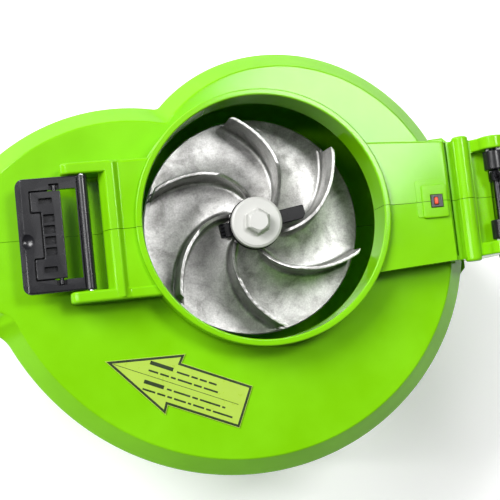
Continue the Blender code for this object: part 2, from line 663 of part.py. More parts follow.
def build_latch():
    """Draw latch: a windowed lever on a cross pin, and a ribbed bail on the lever."""
    low, high = 0.1828, 0.1873
    lever = box("latch_lever", (-0.1460, -LATCH_HALF, low), (-0.1085, LATCH_HALF, high))
    bar = rod("bar", (LATCH_X, LATCH_Z), 0.0032, -LATCH_HALF, LATCH_HALF, steps=20)
    unite(lever, bar)
    window = box("window", (-0.1390, -0.0265, 0.170), (-0.1108, 0.0265, 0.200))
    thumb = rod("thumb", (-0.1490, 0.0), 0.0085, 0.1850, 0.1950, "Z", 24)
    bore = rod("bore", (LATCH_X, LATCH_Z), 0.0018 + GAP, -0.050, 0.050, steps=12)
    pivot = rod("pivot", (BAIL_X, LATCH_Z), 0.0013 + GAP, -0.0300, 0.0300, steps=12)
    finish(cut(lever, window, thumb, bore, pivot), BLACK, 0.35, pivot=(LATCH_X, 0.0, LATCH_Z))
    finish(rod("latch_pin", (LATCH_X, LATCH_Z), 0.0018, -0.0392, 0.0392, steps=12), STEEL, 0.3, 1.0)

    bail = box("latch_bail", (-0.1375, -0.0258, low + 0.0004), (-0.1202, 0.0258, high - 0.0002))
    trunnions = rod("trunnions", (BAIL_X, LATCH_Z), 0.0013, -0.0294, 0.0294, steps=12)
    unite(bail, trunnions)
    slots = [box("slot", (-0.1320, y - 0.0016, 0.170), (-0.1255, y + 0.0016, 0.200))
             for y in (-0.0200, 0.0200)]
    grooves = [box("groove", (-0.1350, y - 0.0024, high - 0.0018), (-0.1255, y + 0.0024, 0.200))
               for y in (-0.0110, -0.0035, 0.0040, 0.0115)]
    finish(cut(bail, *slots, *grooves), BLACK, 0.4, pivot=(BAIL_X, 0.0, LATCH_Z))


def build_interlock():
    """Gate switch: a black guide in the arm, a red sprung plunger, and the switch below it."""
    guide = box("interlock_guide", (0.1045, -0.0039, 0.1720), (0.1121, 0.0039, ARM_TOP + 0.0019))
    well = box("well", (0.1064, -0.0025, 0.1600), (0.1092, 0.0025, 0.2000))
    finish(cut(guide, well), BLACK, 0.5)
    plunger = box("interlock_plunger", (0.1067, -0.0022, 0.1690), (0.1089, 0.0022, ARM_TOP + 0.0032))
    finish(plunger, (0.75, 0.08, 0.03), 0.4, pivot=(0.1078, 0.0, 0.1805))
    finish(box("interlock_switch", (0.0980, -0.0100, 0.1603), (0.1180, 0.0100, 0.1665)), BLACK, 0.5)


# ---------------------------------------------------------------- handle

def handle_outline(inset):
    """Side view of the loop handle: grip along the floor, leg up to the arm."""
    rear, leg, floor = HANDLE_REAR_X - inset, HANDLE_LEG_X + inset, inset
    grip_top = GRIP_HEIGHT - inset
    outline = [(0.040 + inset, floor)]
    outline += arc((HANDLE_REAR_X - 0.022, 0.022), 0.022 - inset, -90.0, 0.0, 6)
    outline += arc((HANDLE_REAR_X - 0.010, HANDLE_TOP - 0.010), 0.010 - inset, 0.0, 90.0, 4)
    outline += [(leg, HANDLE_TOP - inset)]
    outline += arc((HANDLE_LEG_X - 0.014, GRIP_HEIGHT + 0.014), 0.014 + inset, 0.0, -90.0, 5)
    outline += [(0.072, grip_top), (0.058, grip_top + 0.008), (0.040 + inset, grip_top + 0.016)]
    return outline


def handle_solid():
    handle = soften(prism("handle", handle_outline(0.0), -HANDLE_HALF, HANDLE_HALF, "Y"), 0.0045, 2, 60.0)
    hollow = prism("hollow", handle_outline(WALL), WALL - HANDLE_HALF, HANDLE_HALF - WALL, "Y")
    cut(handle, hollow)
    bosses = [rod("boss", place, 0.0046, 0.001 - HANDLE_HALF, HANDLE_HALF - 0.001, steps=20)
              for place in HANDLE_SCREWS]
    unite(handle, *bosses)
    collar = rod("collar", (0.0, SOCKET_Z), 0.0145, 0.1395, HANDLE_REAR_X - 0.0005, "X", 24)
    unite(handle, collar)
    mating_cover = rod("mating_cover", (0.0, 0.0), COVER_RADIUS + GAP, -0.010, 0.080, "Z", 40)
    socket_void = rod("socket_void", (0.0, SOCKET_Z), 0.0125 + GAP, 0.1425, 0.180, "X", 24)
    trigger_slot = box("trigger_slot", (0.0755, -0.0065, 0.020), (0.1125, 0.0065, 0.040))
    pin_hole = rod("pin_hole", (TRIGGER_X, TRIGGER_Z), 0.0013 + GAP, -0.0143, 0.0143, steps=12)
    pad_recess = box("pad_recess", (0.0647, -0.0088, -0.005), (0.1353, 0.0088, 0.0021))
    voids = [screw_void(place, HANDLE_HEAD_FACE, HANDLE_TIP) for place in HANDLE_SCREWS]
    return cut(handle, mating_cover, socket_void, trigger_slot, pin_hole, pad_recess, *voids)


def build_handle():
    split(handle_solid(), "handle_left", "handle_right", GREEN, 0.35)
    for i, place in enumerate(HANDLE_SCREWS, 1):
        screw(f"handle_screw_{i}", place, HANDLE_HEAD_FACE + GAP, HANDLE_TIP - GAP)
    pad = soften(box("handle_grip_pad", (0.0650, -0.0085, 0.0004), (0.1350, 0.0085, 0.0018)), 0.0004, 1)
    finish(pad, BLACK, 0.8)

    blade = [(0.1045, 0.0215), (0.0800, 0.0215), (0.0785, 0.0340), (0.0800, 0.0385), (0.0840, 0.0392),
             (0.0940, 0.0355), (0.1040, 0.0320)]
    trigger = prism("trigger", blade, -0.0060, 0.0060, "Y")
    unite(trigger, rod("hub", (TRIGGER_X, TRIGGER_Z), 0.0036, -0.0060, 0.0060, steps=16),
          box("web", (0.1030, -0.0060, 0.0215), (TRIGGER_X, 0.0060, 0.0275)))
    cut(trigger, rod("bore", (TRIGGER_X, TRIGGER_Z), 0.0013 + GAP, -0.020, 0.020, steps=12))
    finish(trigger, BLACK, 0.45, pivot=(TRIGGER_X, 0.0, TRIGGER_Z))
    finish(rod("trigger_pin", (TRIGGER_X, TRIGGER_Z), 0.0013, -0.0140, 0.0140, steps=12), STEEL, 0.3, 1.0)
    finish(box("trigger_switch", (0.0780, -0.0080, 0.0045), (0.1000, 0.0080, 0.0160)), BLACK, 0.5)

    socket = rod("power_inlet", (0.0, SOCKET_Z), 0.0125, 0.1428, 0.1625, "X", 24)
    finish(cut(socket, rod("well", (0.0, SOCKET_Z), 0.0108, 0.1458, 0.170, "X", 24)), BLACK, 0.5)
    for word, y in (("left", 0.0063), ("right", -0.0063)):
        finish(box(f"inlet_prong_{word}", (0.1461, y - 0.00075, SOCKET_Z - 0.0031),
                   (0.1600, y + 0.00075, SOCKET_Z + 0.0031)), STEEL, 0.3, 1.0)
    rear = HANDLE_REAR_X + GAP
    hook = [(rear, 0.070), (rear + 0.0030, 0.070), (rear + 0.0030, 0.096), (rear + 0.0120, 0.096),
            (rear + 0.0120, 0.080), (rear + 0.0150, 0.080), (rear + 0.0150, 0.100), (rear, 0.100)]
    finish(soften(prism("cord_hook", hook, -0.0045, 0.0045, "Y"), 0.0008, 1), BLACK, 0.5)


# ---------------------------------------------------------------- outlet catch and label

def build_catch():
    """Sprung button in the outlet collar that holds the blower tube."""
    button = box("tube_catch", (-0.2037, -0.0060, 0.1640), (-0.1920, 0.0060, 0.1700))
    finish(soften(button, 0.0012, 2), BLACK, 0.5, pivot=(-0.1978, 0.0, 0.1670))


def build_label():
    """Thin arrow on the scroll face, pointing towards the latch."""
    tip = Vector((-0.1030, -0.0765))
    tail = Vector((-0.0210, -0.1130))
    along = (tail - tip).normalized()
    across = Vector((-along.y, along.x))
    length = (tail - tip).length
    head_length, head_half, tail_half, notch = 0.0446, 0.0192, 0.0133, 0.004
    steps = [(0.0, 0.0), (head_length, head_half), (head_length - notch, tail_half), (length, tail_half),
             (length, -tail_half), (head_length - notch, -tail_half), (head_length, -head_half)]
    outline = [tuple(tip + along * a + across * b) for a, b in steps]
    finish(prism("arrow_label", outline, FACE_HEIGHT + GAP, FACE_HEIGHT + 2 * GAP), (0.55, 0.85, 0.1), 0.4)


def main():
    clear_scene()
    build_housing()
    build_motor_cover()
    build_motor()
    build_rotor()
    build_gate()
    build_hinge()
    build_latch()
    build_interlock()
    build_handle()
    build_catch()
    build_label()


main()
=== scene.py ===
import json
import math

import bmesh
import bpy
from mathutils import Matrix, Vector

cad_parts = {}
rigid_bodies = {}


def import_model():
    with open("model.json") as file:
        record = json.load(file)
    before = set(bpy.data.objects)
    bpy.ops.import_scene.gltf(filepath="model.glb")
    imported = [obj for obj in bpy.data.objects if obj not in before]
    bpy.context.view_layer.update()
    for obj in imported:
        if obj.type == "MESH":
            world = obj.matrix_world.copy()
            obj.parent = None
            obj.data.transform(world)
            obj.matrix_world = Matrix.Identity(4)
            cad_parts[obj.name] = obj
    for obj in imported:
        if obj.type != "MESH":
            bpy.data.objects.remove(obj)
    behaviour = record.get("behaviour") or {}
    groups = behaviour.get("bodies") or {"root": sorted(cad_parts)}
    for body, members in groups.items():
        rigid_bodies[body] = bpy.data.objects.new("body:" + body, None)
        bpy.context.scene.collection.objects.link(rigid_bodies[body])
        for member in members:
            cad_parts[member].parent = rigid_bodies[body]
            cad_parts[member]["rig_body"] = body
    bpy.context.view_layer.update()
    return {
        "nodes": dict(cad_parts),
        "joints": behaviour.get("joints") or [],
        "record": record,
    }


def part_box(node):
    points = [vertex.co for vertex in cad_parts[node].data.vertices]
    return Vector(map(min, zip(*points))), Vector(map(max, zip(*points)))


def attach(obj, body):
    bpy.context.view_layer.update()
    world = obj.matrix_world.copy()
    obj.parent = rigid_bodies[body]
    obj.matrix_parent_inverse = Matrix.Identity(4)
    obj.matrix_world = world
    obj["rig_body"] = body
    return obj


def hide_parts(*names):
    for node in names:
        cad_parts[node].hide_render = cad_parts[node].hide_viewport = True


# Looks of the electric leaf blower and vacuum power unit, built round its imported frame.
# The frame is in metres. Sizes here are in millimetres and angles in degrees; make_piece turns a
# mesh into metres. +Z is the impeller axis, +X the hinge side and +Y the left housing half.

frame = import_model()

MM = 0.001


def mount(name):
    found = [m for m in frame["record"]["mounts"] if m["name"] == name][0]
    return Vector(found["pos_m"]) / MM


def joint_point(name):
    found = [j for j in frame["joints"] if j["name"] == name][0]
    return Vector(found["pos_m"]) / MM


def node_low(name):
    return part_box(name)[0] / MM


def node_high(name):
    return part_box(name)[1] / MM


# Heights and axes from the frame
RIM = mount("inlet_rim").z
FACE = node_low("arrow_label").z - 0.3
OUTLET_TIP = mount("outlet_end").x
HINGE = joint_point("gate_hinge")
LATCH = joint_point("latch_lever_hinge")
BAIL = joint_point("latch_bail_hinge")
COVER_TOP = node_high("motor_cover").z
IMPELLER_RADIUS = node_high("impeller").x
IMPELLER_BACK = node_low("impeller").z
BLADE_TOP = node_high("impeller").z
NUT_BASE = node_low("impeller_nut").z
NUT_TOP = node_high("impeller_nut").z
GATE_OPEN = 110.0

# Shared by many parts: how far joined solids sink into each other, and the height tools reach to
SINK = 1.5
ABOVE = 205.0

# Scroll: a volute that grows clockwise from the tongue, and a shoulder towards the outlet
SCROLL_DEPTH = 99.0
BACK = FACE - SCROLL_DEPTH
WALL = 3.0
GAP = 0.3
INLET = 74.0
COLLAR = 78.0
HUB = 50.0
HUB_TOP = 117.5
BAY = 46.0
TONGUE_ANGLE = 127.0
TONGUE_RADIUS = 94.0
VOLUTE_GROWTH = 0.325
VOLUTE_SLOWING = 0.21e-3
SHOULDER = (-81.0, -46.0)
SHOULDER_RADIUS = 125.0
OUTLET_FACE = -169.0
TONGUE_BEND = 2.5
NECK_BEND = 40.0
OUTLET_OUTER = 48.0
OUTLET_BORE = 44.0
OUTLET_Z = FACE - SCROLL_DEPTH / 2
SLOPE_WIDE = 10.9
SLOPE_DEEP = 11.6

# Arm, bracket and latch
ARM_TOP = RIM - 3.0
ARM_END = 137.0
ARM_ROOT = 76.0
ARM_ROOT_HALF = 40.5
ARM_END_HALF = 36.5
LUG_GAP_HALF = 28.5
PIN_BORE = 2.5
HANDLE_TOP = node_high("handle_left").z
SHELF_TOP = RIM - 6.0
BRACKET_HALF = 41.5
LATCH_HALF = 34.0
LATCH_BORE = 2.1
BRACKET_END = -119.5


# ---------------------------------------------------------------- mesh helpers

def make_piece(name, bm, scale=MM):
    """Turn a bmesh in millimetres into a linked object in metres, faces outward."""
    bmesh.ops.remove_doubles(bm, verts=bm.verts, dist=1e-5)
    bmesh.ops.recalc_face_normals(bm, faces=bm.faces)
    bmesh.ops.scale(bm, vec=(scale, scale, scale), verts=bm.verts)
    mesh = bpy.data.meshes.new(name)
    bm.to_mesh(mesh)
    bm.free()
    item = bpy.data.objects.new(name, mesh)
    bpy.context.scene.collection.objects.link(item)
    return item


def loft(name, loops, closed=False):
    """Skin loops of equal length; the ends are capped unless the loops run round in a ring."""
    bm = bmesh.new()
    rings = [[bm.verts.new(point) for point in loop] for loop in loops]
    pairs = list(zip(rings, rings[1:]))
    if closed:
        pairs.append((rings[-1], rings[0]))
    for lower, upper in pairs:
        for i in range(len(lower)):
            j = (i + 1) % len(lower)
            bm.faces.new((lower[i], lower[j], upper[j], upper[i]))
    if not closed:
        bm.faces.new(rings[0])
        bm.faces.new(rings[-1])
    return make_piece(name, bm)


def arc(centre, radius, start, end, steps):
    """Points on an arc between two angles, both ends included."""
    angles = [math.radians(start + (end - start) * i / steps) for i in range(steps + 1)]
    return [(centre[0] + radius * math.cos(a), centre[1] + radius * math.sin(a)) for a in angles]


def circle(centre, radius, steps):
    """Circle whose points straddle the seam plane and the axes."""
    half_step = 180.0 / steps
    return arc(centre, radius, half_step, 360.0 + half_step, steps)[:-1]


def rounded(points, radius, steps=4):
    """Replace each corner of a closed outline with an arc. Radius may be one value or one per corner."""
    radii = radius if isinstance(radius, (list, tuple)) else [radius] * len(points)
    made = []
    for i, (point, wanted) in enumerate(zip(points, radii)):
        here = Vector(point)
        back = Vector(points[i - 1]) - here
        ahead = Vector(points[(i + 1) % len(points)]) - here
        room = 0.48 * min(back.length, ahead.length)
        back.normalize()
        ahead.normalize()
        half = math.acos(max(-1.0, min(1.0, back.dot(ahead)))) / 2
        if wanted <= 0.0 or abs(half - math.pi / 2) < 1e-3:
            made.append(tuple(here))
            continue
        reach = min(wanted / math.tan(half), room)
        bend = reach * math.tan(half)
        middle = here + (back + ahead).normalized() * (reach / math.cos(half))
        first = here + back * reach - middle
        last = here + ahead * reach - middle
        sweep = math.pi - 2 * half
        for k in range(steps + 1):
            share = k / steps
            a = math.sin((1 - share) * sweep)
            b = math.sin(share * sweep)
            direction = (first * a + last * b) / math.sin(sweep)
            made.append(tuple(middle + direction.normalized() * bend))
    return made


def offset(outline, distance):
    """Move a counter-clockwise outline outward by distance, along its corners' bisectors."""
    moved = []
    count = len(outline)
    for i in range(count):
        here = Vector(outline[i])
        into = (here - Vector(outline[i - 1])).normalized()
        away = (Vector(outline[(i + 1) % count]) - here).normalized()
        normal = Vector((into.y + away.y, -into.x - away.x))
        normal.normalize()
        facing = max(0.35, normal.dot(Vector((into.y, -into.x))))
        moved.append(tuple(here + normal * (distance / facing)))
    return moved


def place(point, level, axis):
    a, b = point
    return {"Z": (a, b, level), "Y": (a, level, b), "X": (level, a, b)}[axis]


def slab(name, outline, low, high, axis="Z", top=0.0, bottom=0.0, foot=0.0, steps=4):
    """Extrude an outline with a rounded top edge, and a rounded bottom edge or a flared foot."""
    if sum(a[0] * b[1] - b[0] * a[1] for a, b in zip(outline, outline[1:] + outline[:1])) < 0:
        outline = outline[::-1]
    levels = []
    turns = [math.radians(90.0 * k / steps) for k in range(steps + 1)]
    if foot:
        levels += [(low + foot * (1 - math.cos(a)), foot * (1 - math.sin(a))) for a in turns]
    elif bottom:
        levels += [(low + bottom * (1 - math.cos(a)), -bottom * (1 - math.sin(a))) for a in turns]
    else:
        levels.append((low, 0.0))
    if top:
        levels += [(high - top * (1 - math.sin(a)), -top * (1 - math.cos(a))) for a in turns]
    else:
        levels.append((high, 0.0))
    loops = [[place(point, level, axis) for point in offset(outline, grow)] for level, grow in levels]
    return loft(name, loops)


def box(name, low, high, **rounding):
    """Box between two corners. Rounding may give side, top, bottom and foot radii."""
    side = rounding.pop("side", 0.0)
    corners = [(low[0], low[1]), (high[0], low[1]), (high[0], high[1]), (low[0], high[1])]
    outline = rounded(corners, side) if side else corners
    return slab(name, outline, low[2], high[2], **rounding)


def rod(name, centre, radius, low, high, axis="Y", steps=32, edge=0.0):
    return slab(name, circle(centre, radius, steps), low, high, axis, top=edge, bottom=edge, steps=3)


def turned(name, profile, steps=96):
    """Spin a closed (radius, height) profile about the Z axis."""
    loops = []
    for i in range(steps):
        a = math.tau * i / steps
        loops.append([(r * math.cos(a), r * math.sin(a), z) for r, z in profile])
    return loft(name, loops, closed=True)


def turn_about(item, point, angle, axis="Y"):
    """Turn a mesh about an axis through a point given in millimetres."""
    shift = Matrix.Translation(Vector(point) * MM)
    item.data.transform(shift @ Matrix.Rotation(math.radians(angle), 4, axis) @ shift.inverted())
    return item


def bake(item):
    """Apply an object's modifiers to its mesh."""
    bpy.context.view_layer.update()
    graph = bpy.context.evaluated_depsgraph_get()
    mesh = bpy.data.meshes.new_from_object(item.evaluated_get(graph))
    item.modifiers.clear()
    item.data = mesh
    return item


def combine(base, tools, operation):
    for tool in tools:
        modifier = base.modifiers.new("combine", "BOOLEAN")
        modifier.operation = operation
        modifier.solver = "EXACT"
        modifier.object = tool
    bake(base)
    for tool in tools:
        bpy.data.objects.remove(tool, do_unlink=True)
    return base


def unite(base, *tools):
    return combine(base, tools, "UNION")


def cut(base, *tools):
    return combine(base, tools, "DIFFERENCE")


def soften(item, width, segments=2, angle=35.0):
    """Round every edge sharper than the angle."""
    modifier = item.modifiers.new("round", "BEVEL")
    modifier.width = width * MM
    modifier.segments = segments
    modifier.limit_method = "ANGLE"
    modifier.angle_limit = math.radians(angle)
    modifier.harden_normals = True
    return bake(item)


def shade(item, angle=35.0):
    """Smooth shading with crisp edges, and flat faces that keep their flat normals."""
    item.data.shade_smooth()
    item.data.set_sharp_from_angle(angle=math.radians(angle))
    modifier = item.modifiers.new("normals", "WEIGHTED_NORMAL")
    modifier.keep_sharp = True
    return item


def show(item, body, look, slot, *nodes, angle=35.0):
    """Finish a piece: shading, material, body and the CAD nodes it stands for; its material slot argument is
    not used.
    """
    shade(item, angle)
    item.data.materials.clear()
    item.data.materials.append(look)
    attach(item, body)
    if nodes:
        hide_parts(*nodes)
    return item


def refined(node, width, segments=2, angle=30.0):
    """A copy of a CAD node with its flat faces merged and its edges rounded."""
    item = bpy.data.objects.new(f"{node}_fine", frame["nodes"][node].data.copy())
    bpy.context.scene.collection.objects.link(item)
    bm = bmesh.new()
    bm.from_mesh(item.data)
    bmesh.ops.remove_doubles(bm, verts=bm.verts, dist=1e-6)
    bmesh.ops.dissolve_limit(bm, angle_limit=math.radians(1.0), verts=bm.verts, edges=bm.edges)
    bm.to_mesh(item.data)
    bm.free()
    return soften(item, width, segments, angle) if width else item


# ---------------------------------------------------------------- material helpers

class Look:
    """A Principled material and short ways to add the nodes that feed it."""

    def __init__(self, name, roughness, metallic=0.0, **constants):
        self.material = bpy.data.materials.new(name)
        self.material.use_nodes = True
        self.tree = self.material.node_tree
        self.shader = self.tree.nodes["Principled BSDF"]
        self.shader.inputs["Roughness"].default_value = roughness
        self.shader.inputs["Metallic"].default_value = metallic
        for socket, value in constants.items():
            self.shader.inputs[socket.replace("_", " ")].default_value = value
        self.place = self.tree.nodes.new("ShaderNodeTexCoord").outputs["Object"]

    def noise(self, size, detail=3.0, roughness=0.55, distortion=0.0):
        """Noise whose features are about size millimetres across."""
        node = self.tree.nodes.new("ShaderNodeTexNoise")
        node.inputs["Scale"].default_value = 1.0 / (size * MM)
        node.inputs["Detail"].default_value = detail
        node.inputs["Roughness"].default_value = roughness
        node.inputs["Distortion"].default_value = distortion
        self.tree.links.new(self.place, node.inputs["Vector"])
        return node.outputs["Fac"]

    def ramp(self, value, *stops):
        """Map a value through (position, colour or grey) stops."""
        node = self.tree.nodes.new("ShaderNodeValToRGB")
        ramp = node.color_ramp
        while len(ramp.elements) < len(stops):
            ramp.elements.new(0.5)
        for element, (position, colour) in zip(ramp.elements, stops):
            grey = isinstance(colour, (int, float))
            element.position = position
            element.color = (colour, colour, colour, 1.0) if grey else (*colour, 1.0)
        self.tree.links.new(value, node.inputs["Fac"])
        return node.outputs["Color"]

    def mix(self, share, first, second, blend="MIX"):
        """Blend two colours, each a socket or a fixed colour, by a share."""
        node = self.tree.nodes.new("ShaderNodeMix")
        node.data_type = "RGBA"
        node.blend_type = blend
        for socket, value in ((node.inputs[0], share), (node.inputs[6], first), (node.inputs[7], second)):
            if isinstance(value, bpy.types.NodeSocket):
                self.tree.links.new(value, socket)
            elif isinstance(value, (int, float)):
                socket.default_value = value
            else:
                socket.default_value = (*value, 1.0)
        return node.outputs[2]

    def between(self, value, low, high):
        """Stretch a 0 to 1 value to a range."""
        node = self.tree.nodes.new("ShaderNodeMapRange")
        node.inputs["From Min"].default_value = 0.3
        node.inputs["From Max"].default_value = 0.7
        node.inputs["To Min"].default_value = low
        node.inputs["To Max"].default_value = high
        self.tree.links.new(value, node.inputs["Value"])
        return node.outputs["Result"]

    def edges(self, sharpness=(0.52, 0.58)):
        """1 along outer edges and 0 elsewhere, from the mesh's own curvature."""
        node = self.tree.nodes.new("ShaderNodeNewGeometry")
        return self.ramp(node.outputs["Pointiness"], (sharpness[0], 0.0), (sharpness[1], 1.0))

    def link(self, output, socket):
        self.tree.links.new(output, self.shader.inputs[socket])

    def bump(self, height, strength, depth):
        """Feed the normal with a height; a second call adds to the first."""
        node = self.tree.nodes.new("ShaderNodeBump")
        node.inputs["Strength"].default_value = strength
        node.inputs["Distance"].default_value = depth * MM
        self.tree.links.new(height, node.inputs["Height"])
        normal = self.shader.inputs["Normal"]
        if normal.links:
            self.tree.links.new(normal.links[0].from_socket, node.inputs["Normal"])
        self.tree.links.new(node.outputs["Normal"], normal)


def moulded(name, colour, roughness, grain=0.35, depth=0.01, edge_wear_and_glint=0.25, **constants):
    """Injection-moulded plastic: fine grain, slow colour drift, handling smudges and paler edges, which are
    partly edge wear and partly a painted highlight along the edges.
    """
    look = Look(name, roughness, **constants)
    dark = tuple(c * 0.93 for c in colour)
    light = tuple(min(1.0, c * 1.05 + 0.004) for c in colour)
    drift = look.ramp(look.noise(38.0), (0.3, dark), (0.7, light))
    specks = look.ramp(look.noise(0.9, 2.0), (0.70, 0.0), (0.78, 1.0))
    spotted = look.mix(specks, drift, tuple(c * 0.82 for c in colour))
    worn_and_glinting_edge_colour = tuple(min(1.0, c * 1.12 + 0.02) for c in colour)
    # Paler edges: part edge wear, part painted highlight; a strong setting paints glints along every edge.
    edge_wear_and_glint_mask = look.mix(look.edges(), (0.0, 0.0, 0.0), (edge_wear_and_glint, edge_wear_and_glint, edge_wear_and_glint))
    look.link(look.mix(edge_wear_and_glint_mask, spotted, worn_and_glinting_edge_colour), "Base Color")
    look.link(look.between(look.noise(9.0, 4.0), roughness * 0.86, roughness * 1.16), "Roughness")
    look.bump(look.noise(14.0, 1.0), 0.25, depth * 4)
    look.bump(look.noise(grain, 2.0), 0.35, depth)
    return look.material


def cast_metal(name):
    """Tumbled cast aluminium: cloudy grey, dark stains, pitted grain and brighter worn edges."""
    look = Look(name, 0.42, 0.92)
    dark, middle, light = (0.22, 0.216, 0.208), (0.50, 0.496, 0.485), (0.70, 0.696, 0.685)
    clouds = look.ramp(look.noise(17.0, 5.0, 0.62, 0.6), (0.30, dark), (0.52, middle), (0.72, light))
    grain = look.ramp(look.noise(1.1, 3.0, 0.7), (0.35, 0.72), (0.65, 1.0))
    grained = look.mix(1.0, clouds, grain, "MULTIPLY")
    stains = look.ramp(look.noise(6.5, 4.0, 0.7, 1.4), (0.60, 0.0), (0.74, 0.55))
    stained = look.mix(stains, grained, (0.20, 0.195, 0.185))
    look.link(look.mix(look.edges((0.53, 0.60)), stained, (0.90, 0.895, 0.88)), "Base Color")
    look.link(look.between(look.noise(5.0, 5.0, 0.7), 0.34, 0.52), "Roughness")
    look.bump(look.noise(2.4, 4.0, 0.6), 0.35, 0.05)
    look.bump(look.noise(0.5, 2.0, 0.6), 0.4, 0.02)
    return look.material


def plain_metal(name, colour, roughness, grain=0.6):
    """Machined or plated metal with a faint brushed grain and some tarnish."""
    look = Look(name, roughness, 1.0)
    dull = tuple(c * 0.72 for c in colour)
    look.link(look.ramp(look.noise(grain * 9, 4.0), (0.3, dull), (0.65, colour)), "Base Color")
    look.link(look.between(look.noise(grain * 5, 3.0), roughness * 0.8, roughness * 1.3), "Roughness")
    look.bump(look.noise(grain, 2.0), 0.3, 0.008)
    return look.material


def rubber(name):
    """Grip rubber: matt, dusty, with a pebbled grain."""
    look = Look(name, 0.75)
    clean, dusty = (0.018, 0.018, 0.019), (0.045, 0.045, 0.047)
    look.link(look.ramp(look.noise(8.0), (0.3, clean), (0.7, dusty)), "Base Color")
    look.link(look.between(look.noise(3.0), 0.62, 0.85), "Roughness")
    look.bump(look.noise(0.8, 2.0), 0.7, 0.06)
    return look.material


def film(name, colour):
    """Printed plastic film with a soft satin mottle."""
    look = Look(name, 0.32)
    dark = tuple(c * 0.95 for c in colour)
    look.link(look.ramp(look.noise(12.0), (0.3, dark), (0.7, colour)), "Base Color")
    look.link(look.between(look.noise(4.0), 0.26, 0.38), "Roughness")
    look.bump(look.noise(0.7, 2.0), 0.2, 0.004)
    return look.material


def winding(name):
    """Enamelled copper wire, wound along the coil, with painted shade between the turns and a painted
    highlight on each turn's crest.
    """
    look = Look(name, 0.35, 0.7)
    node = look.tree.nodes.new("ShaderNodeTexWave")
    node.inputs["Scale"].default_value = 600.0
    node.inputs["Distortion"].default_value = 0.6
    look.tree.links.new(look.place, node.inputs["Vector"])
    # Painted light: the dark stop is shade painted into the grooves between turns, the light stop a highlight
    # painted on the wire's crest.
    painted_shade_between_turns, painted_highlight_on_crest = (0.33, 0.11, 0.03), (0.80, 0.36, 0.12)
    look.link(look.ramp(node.outputs["Fac"], (0.2, painted_shade_between_turns), (0.8, painted_highlight_on_crest)), "Base Color")
    look.link(look.between(look.noise(3.0), 0.28, 0.45), "Roughness")
    look.bump(node.outputs["Fac"], 0.6, 0.1)
    return look.material


# ---------------------------------------------------------------- scroll

def smooth_max(a, b, blend):
    """The larger of two values, with a round bend where they cross."""
    overlap = max(blend - abs(a - b), 0.0) / blend
    return max(a, b) + overlap * overlap * blend / 4


def wall_radius(angle, inset, end=OUTLET_FACE):
    """Distance from the axis to the scroll's side wall, pulled in by inset."""
    c = math.cos(math.radians(angle))
    s = abs(math.sin(math.radians(angle)))
    turned_by = TONGUE_ANGLE - angle
    volute = TONGUE_RADIUS + VOLUTE_GROWTH * turned_by - VOLUTE_SLOWING * turned_by ** 2 - inset
    along = SHOULDER[0] * c + SHOULDER[1] * math.sin(math.radians(angle))
    squared = (SHOULDER_RADIUS - inset) ** 2 - SHOULDER[0] ** 2 - SHOULDER[1] ** 2 + along ** 2
    shoulder = along + math.sqrt(squared)
    neck = (OUTLET_OUTER + 0.3 - inset) / max(s, 1e-6)
    if angle > 0.0:
        radius = smooth_max(volute, shoulder, TONGUE_BEND)
    else:
        radius = smooth_max(volute, min(shoulder, neck), NECK_BEND)
    return min(radius, end / c) if c < -0.1 else radius


def scroll_angles():
    """Even steps round the scroll, with finer ones at the tongue and the outlet's corners."""
    coarse, fine = 1.5, 0.5
    angles = {round(coarse * i - 180.0, 3) for i in range(int(360 / coarse))}
    for start, end in ((119.0, 134.0), (158.0, 168.0), (-168.0, -158.0)):
        angles |= {round(start + fine * i, 3) for i in range(int((end - start) / fine) + 1)}
    return sorted(angles)


def slope_inset(z):
    """How far the scroll's sloped edge pulls in at a height near the face."""
    return max(0.0, z - (FACE - SLOPE_DEEP)) * SLOPE_WIDE / SLOPE_DEEP


def scroll_shell():
    """Collar, face, sloped edges, back, motor hub and the chamber inside, as one closed skin."""
    reach = 150.0
    inner = reach - WALL
    floor, roof = BACK + WALL, FACE - WALL
    corners = [
        (INLET, FACE - WALL, 0.5), (INLET, RIM, 0.9), (COLLAR, RIM, 0.9), (COLLAR, FACE, 1.8),
        (reach - SLOPE_WIDE, FACE, 1.6), (reach, FACE - SLOPE_DEEP, 3.0),
        (reach, BACK + SLOPE_DEEP, 3.0), (reach - SLOPE_WIDE, BACK, 1.6),
        (BAY, BACK, 0.5), (BAY, HUB_TOP - 3.5, 0.5), (13.0, HUB_TOP - 3.5, 0.3), (13.0, HUB_TOP, 0.3),
        (HUB, HUB_TOP, 2.0), (HUB, floor, 2.0),
        (inner - SLOPE_WIDE, floor, 2.0), (inner, floor + SLOPE_DEEP, 2.0),
        (inner, roof - SLOPE_DEEP, 2.0), (inner - SLOPE_WIDE, roof, 2.0)]
    profile = rounded([(r, z) for r, z, _ in corners], [bend for _, _, bend in corners], 5)
    # Points past the collar follow the side wall. The outlet's end wall is flat: it stands at
    # OUTLET_FACE outside, and one wall thickness further in on the chamber's side.
    round_part = COLLAR + 4.0
    flat_part = reach - SLOPE_WIDE - 1.7
    hair = 0.01
    loops = []
    for angle in scroll_angles():
        c, s = math.cos(math.radians(angle)), math.sin(math.radians(angle))
        loop = []
        for r, z in profile:
            if r > round_part:
                inside = roof - hair > z > floor + hair and r <= inner
                end = OUTLET_FACE + (WALL if inside or r < flat_part else 0.0)
                r = wall_radius(angle, reach - r, end)
            loop.append((r * c, r * s, z))
        loops.append(loop)
    return loft("scroll_shell", loops, closed=True)


def wall_line(first, last, inset, steps=10):
    """Points along the scroll's side wall between two angles."""
    points = []
    for i in range(steps + 1):
        angle = first + (last - first) * i / steps
        r = wall_radius(angle, inset)
        points.append((r * math.cos(math.radians(angle)), r * math.sin(math.radians(angle))))
    return points


# ---------------------------------------------------------------- arm and hinge lugs

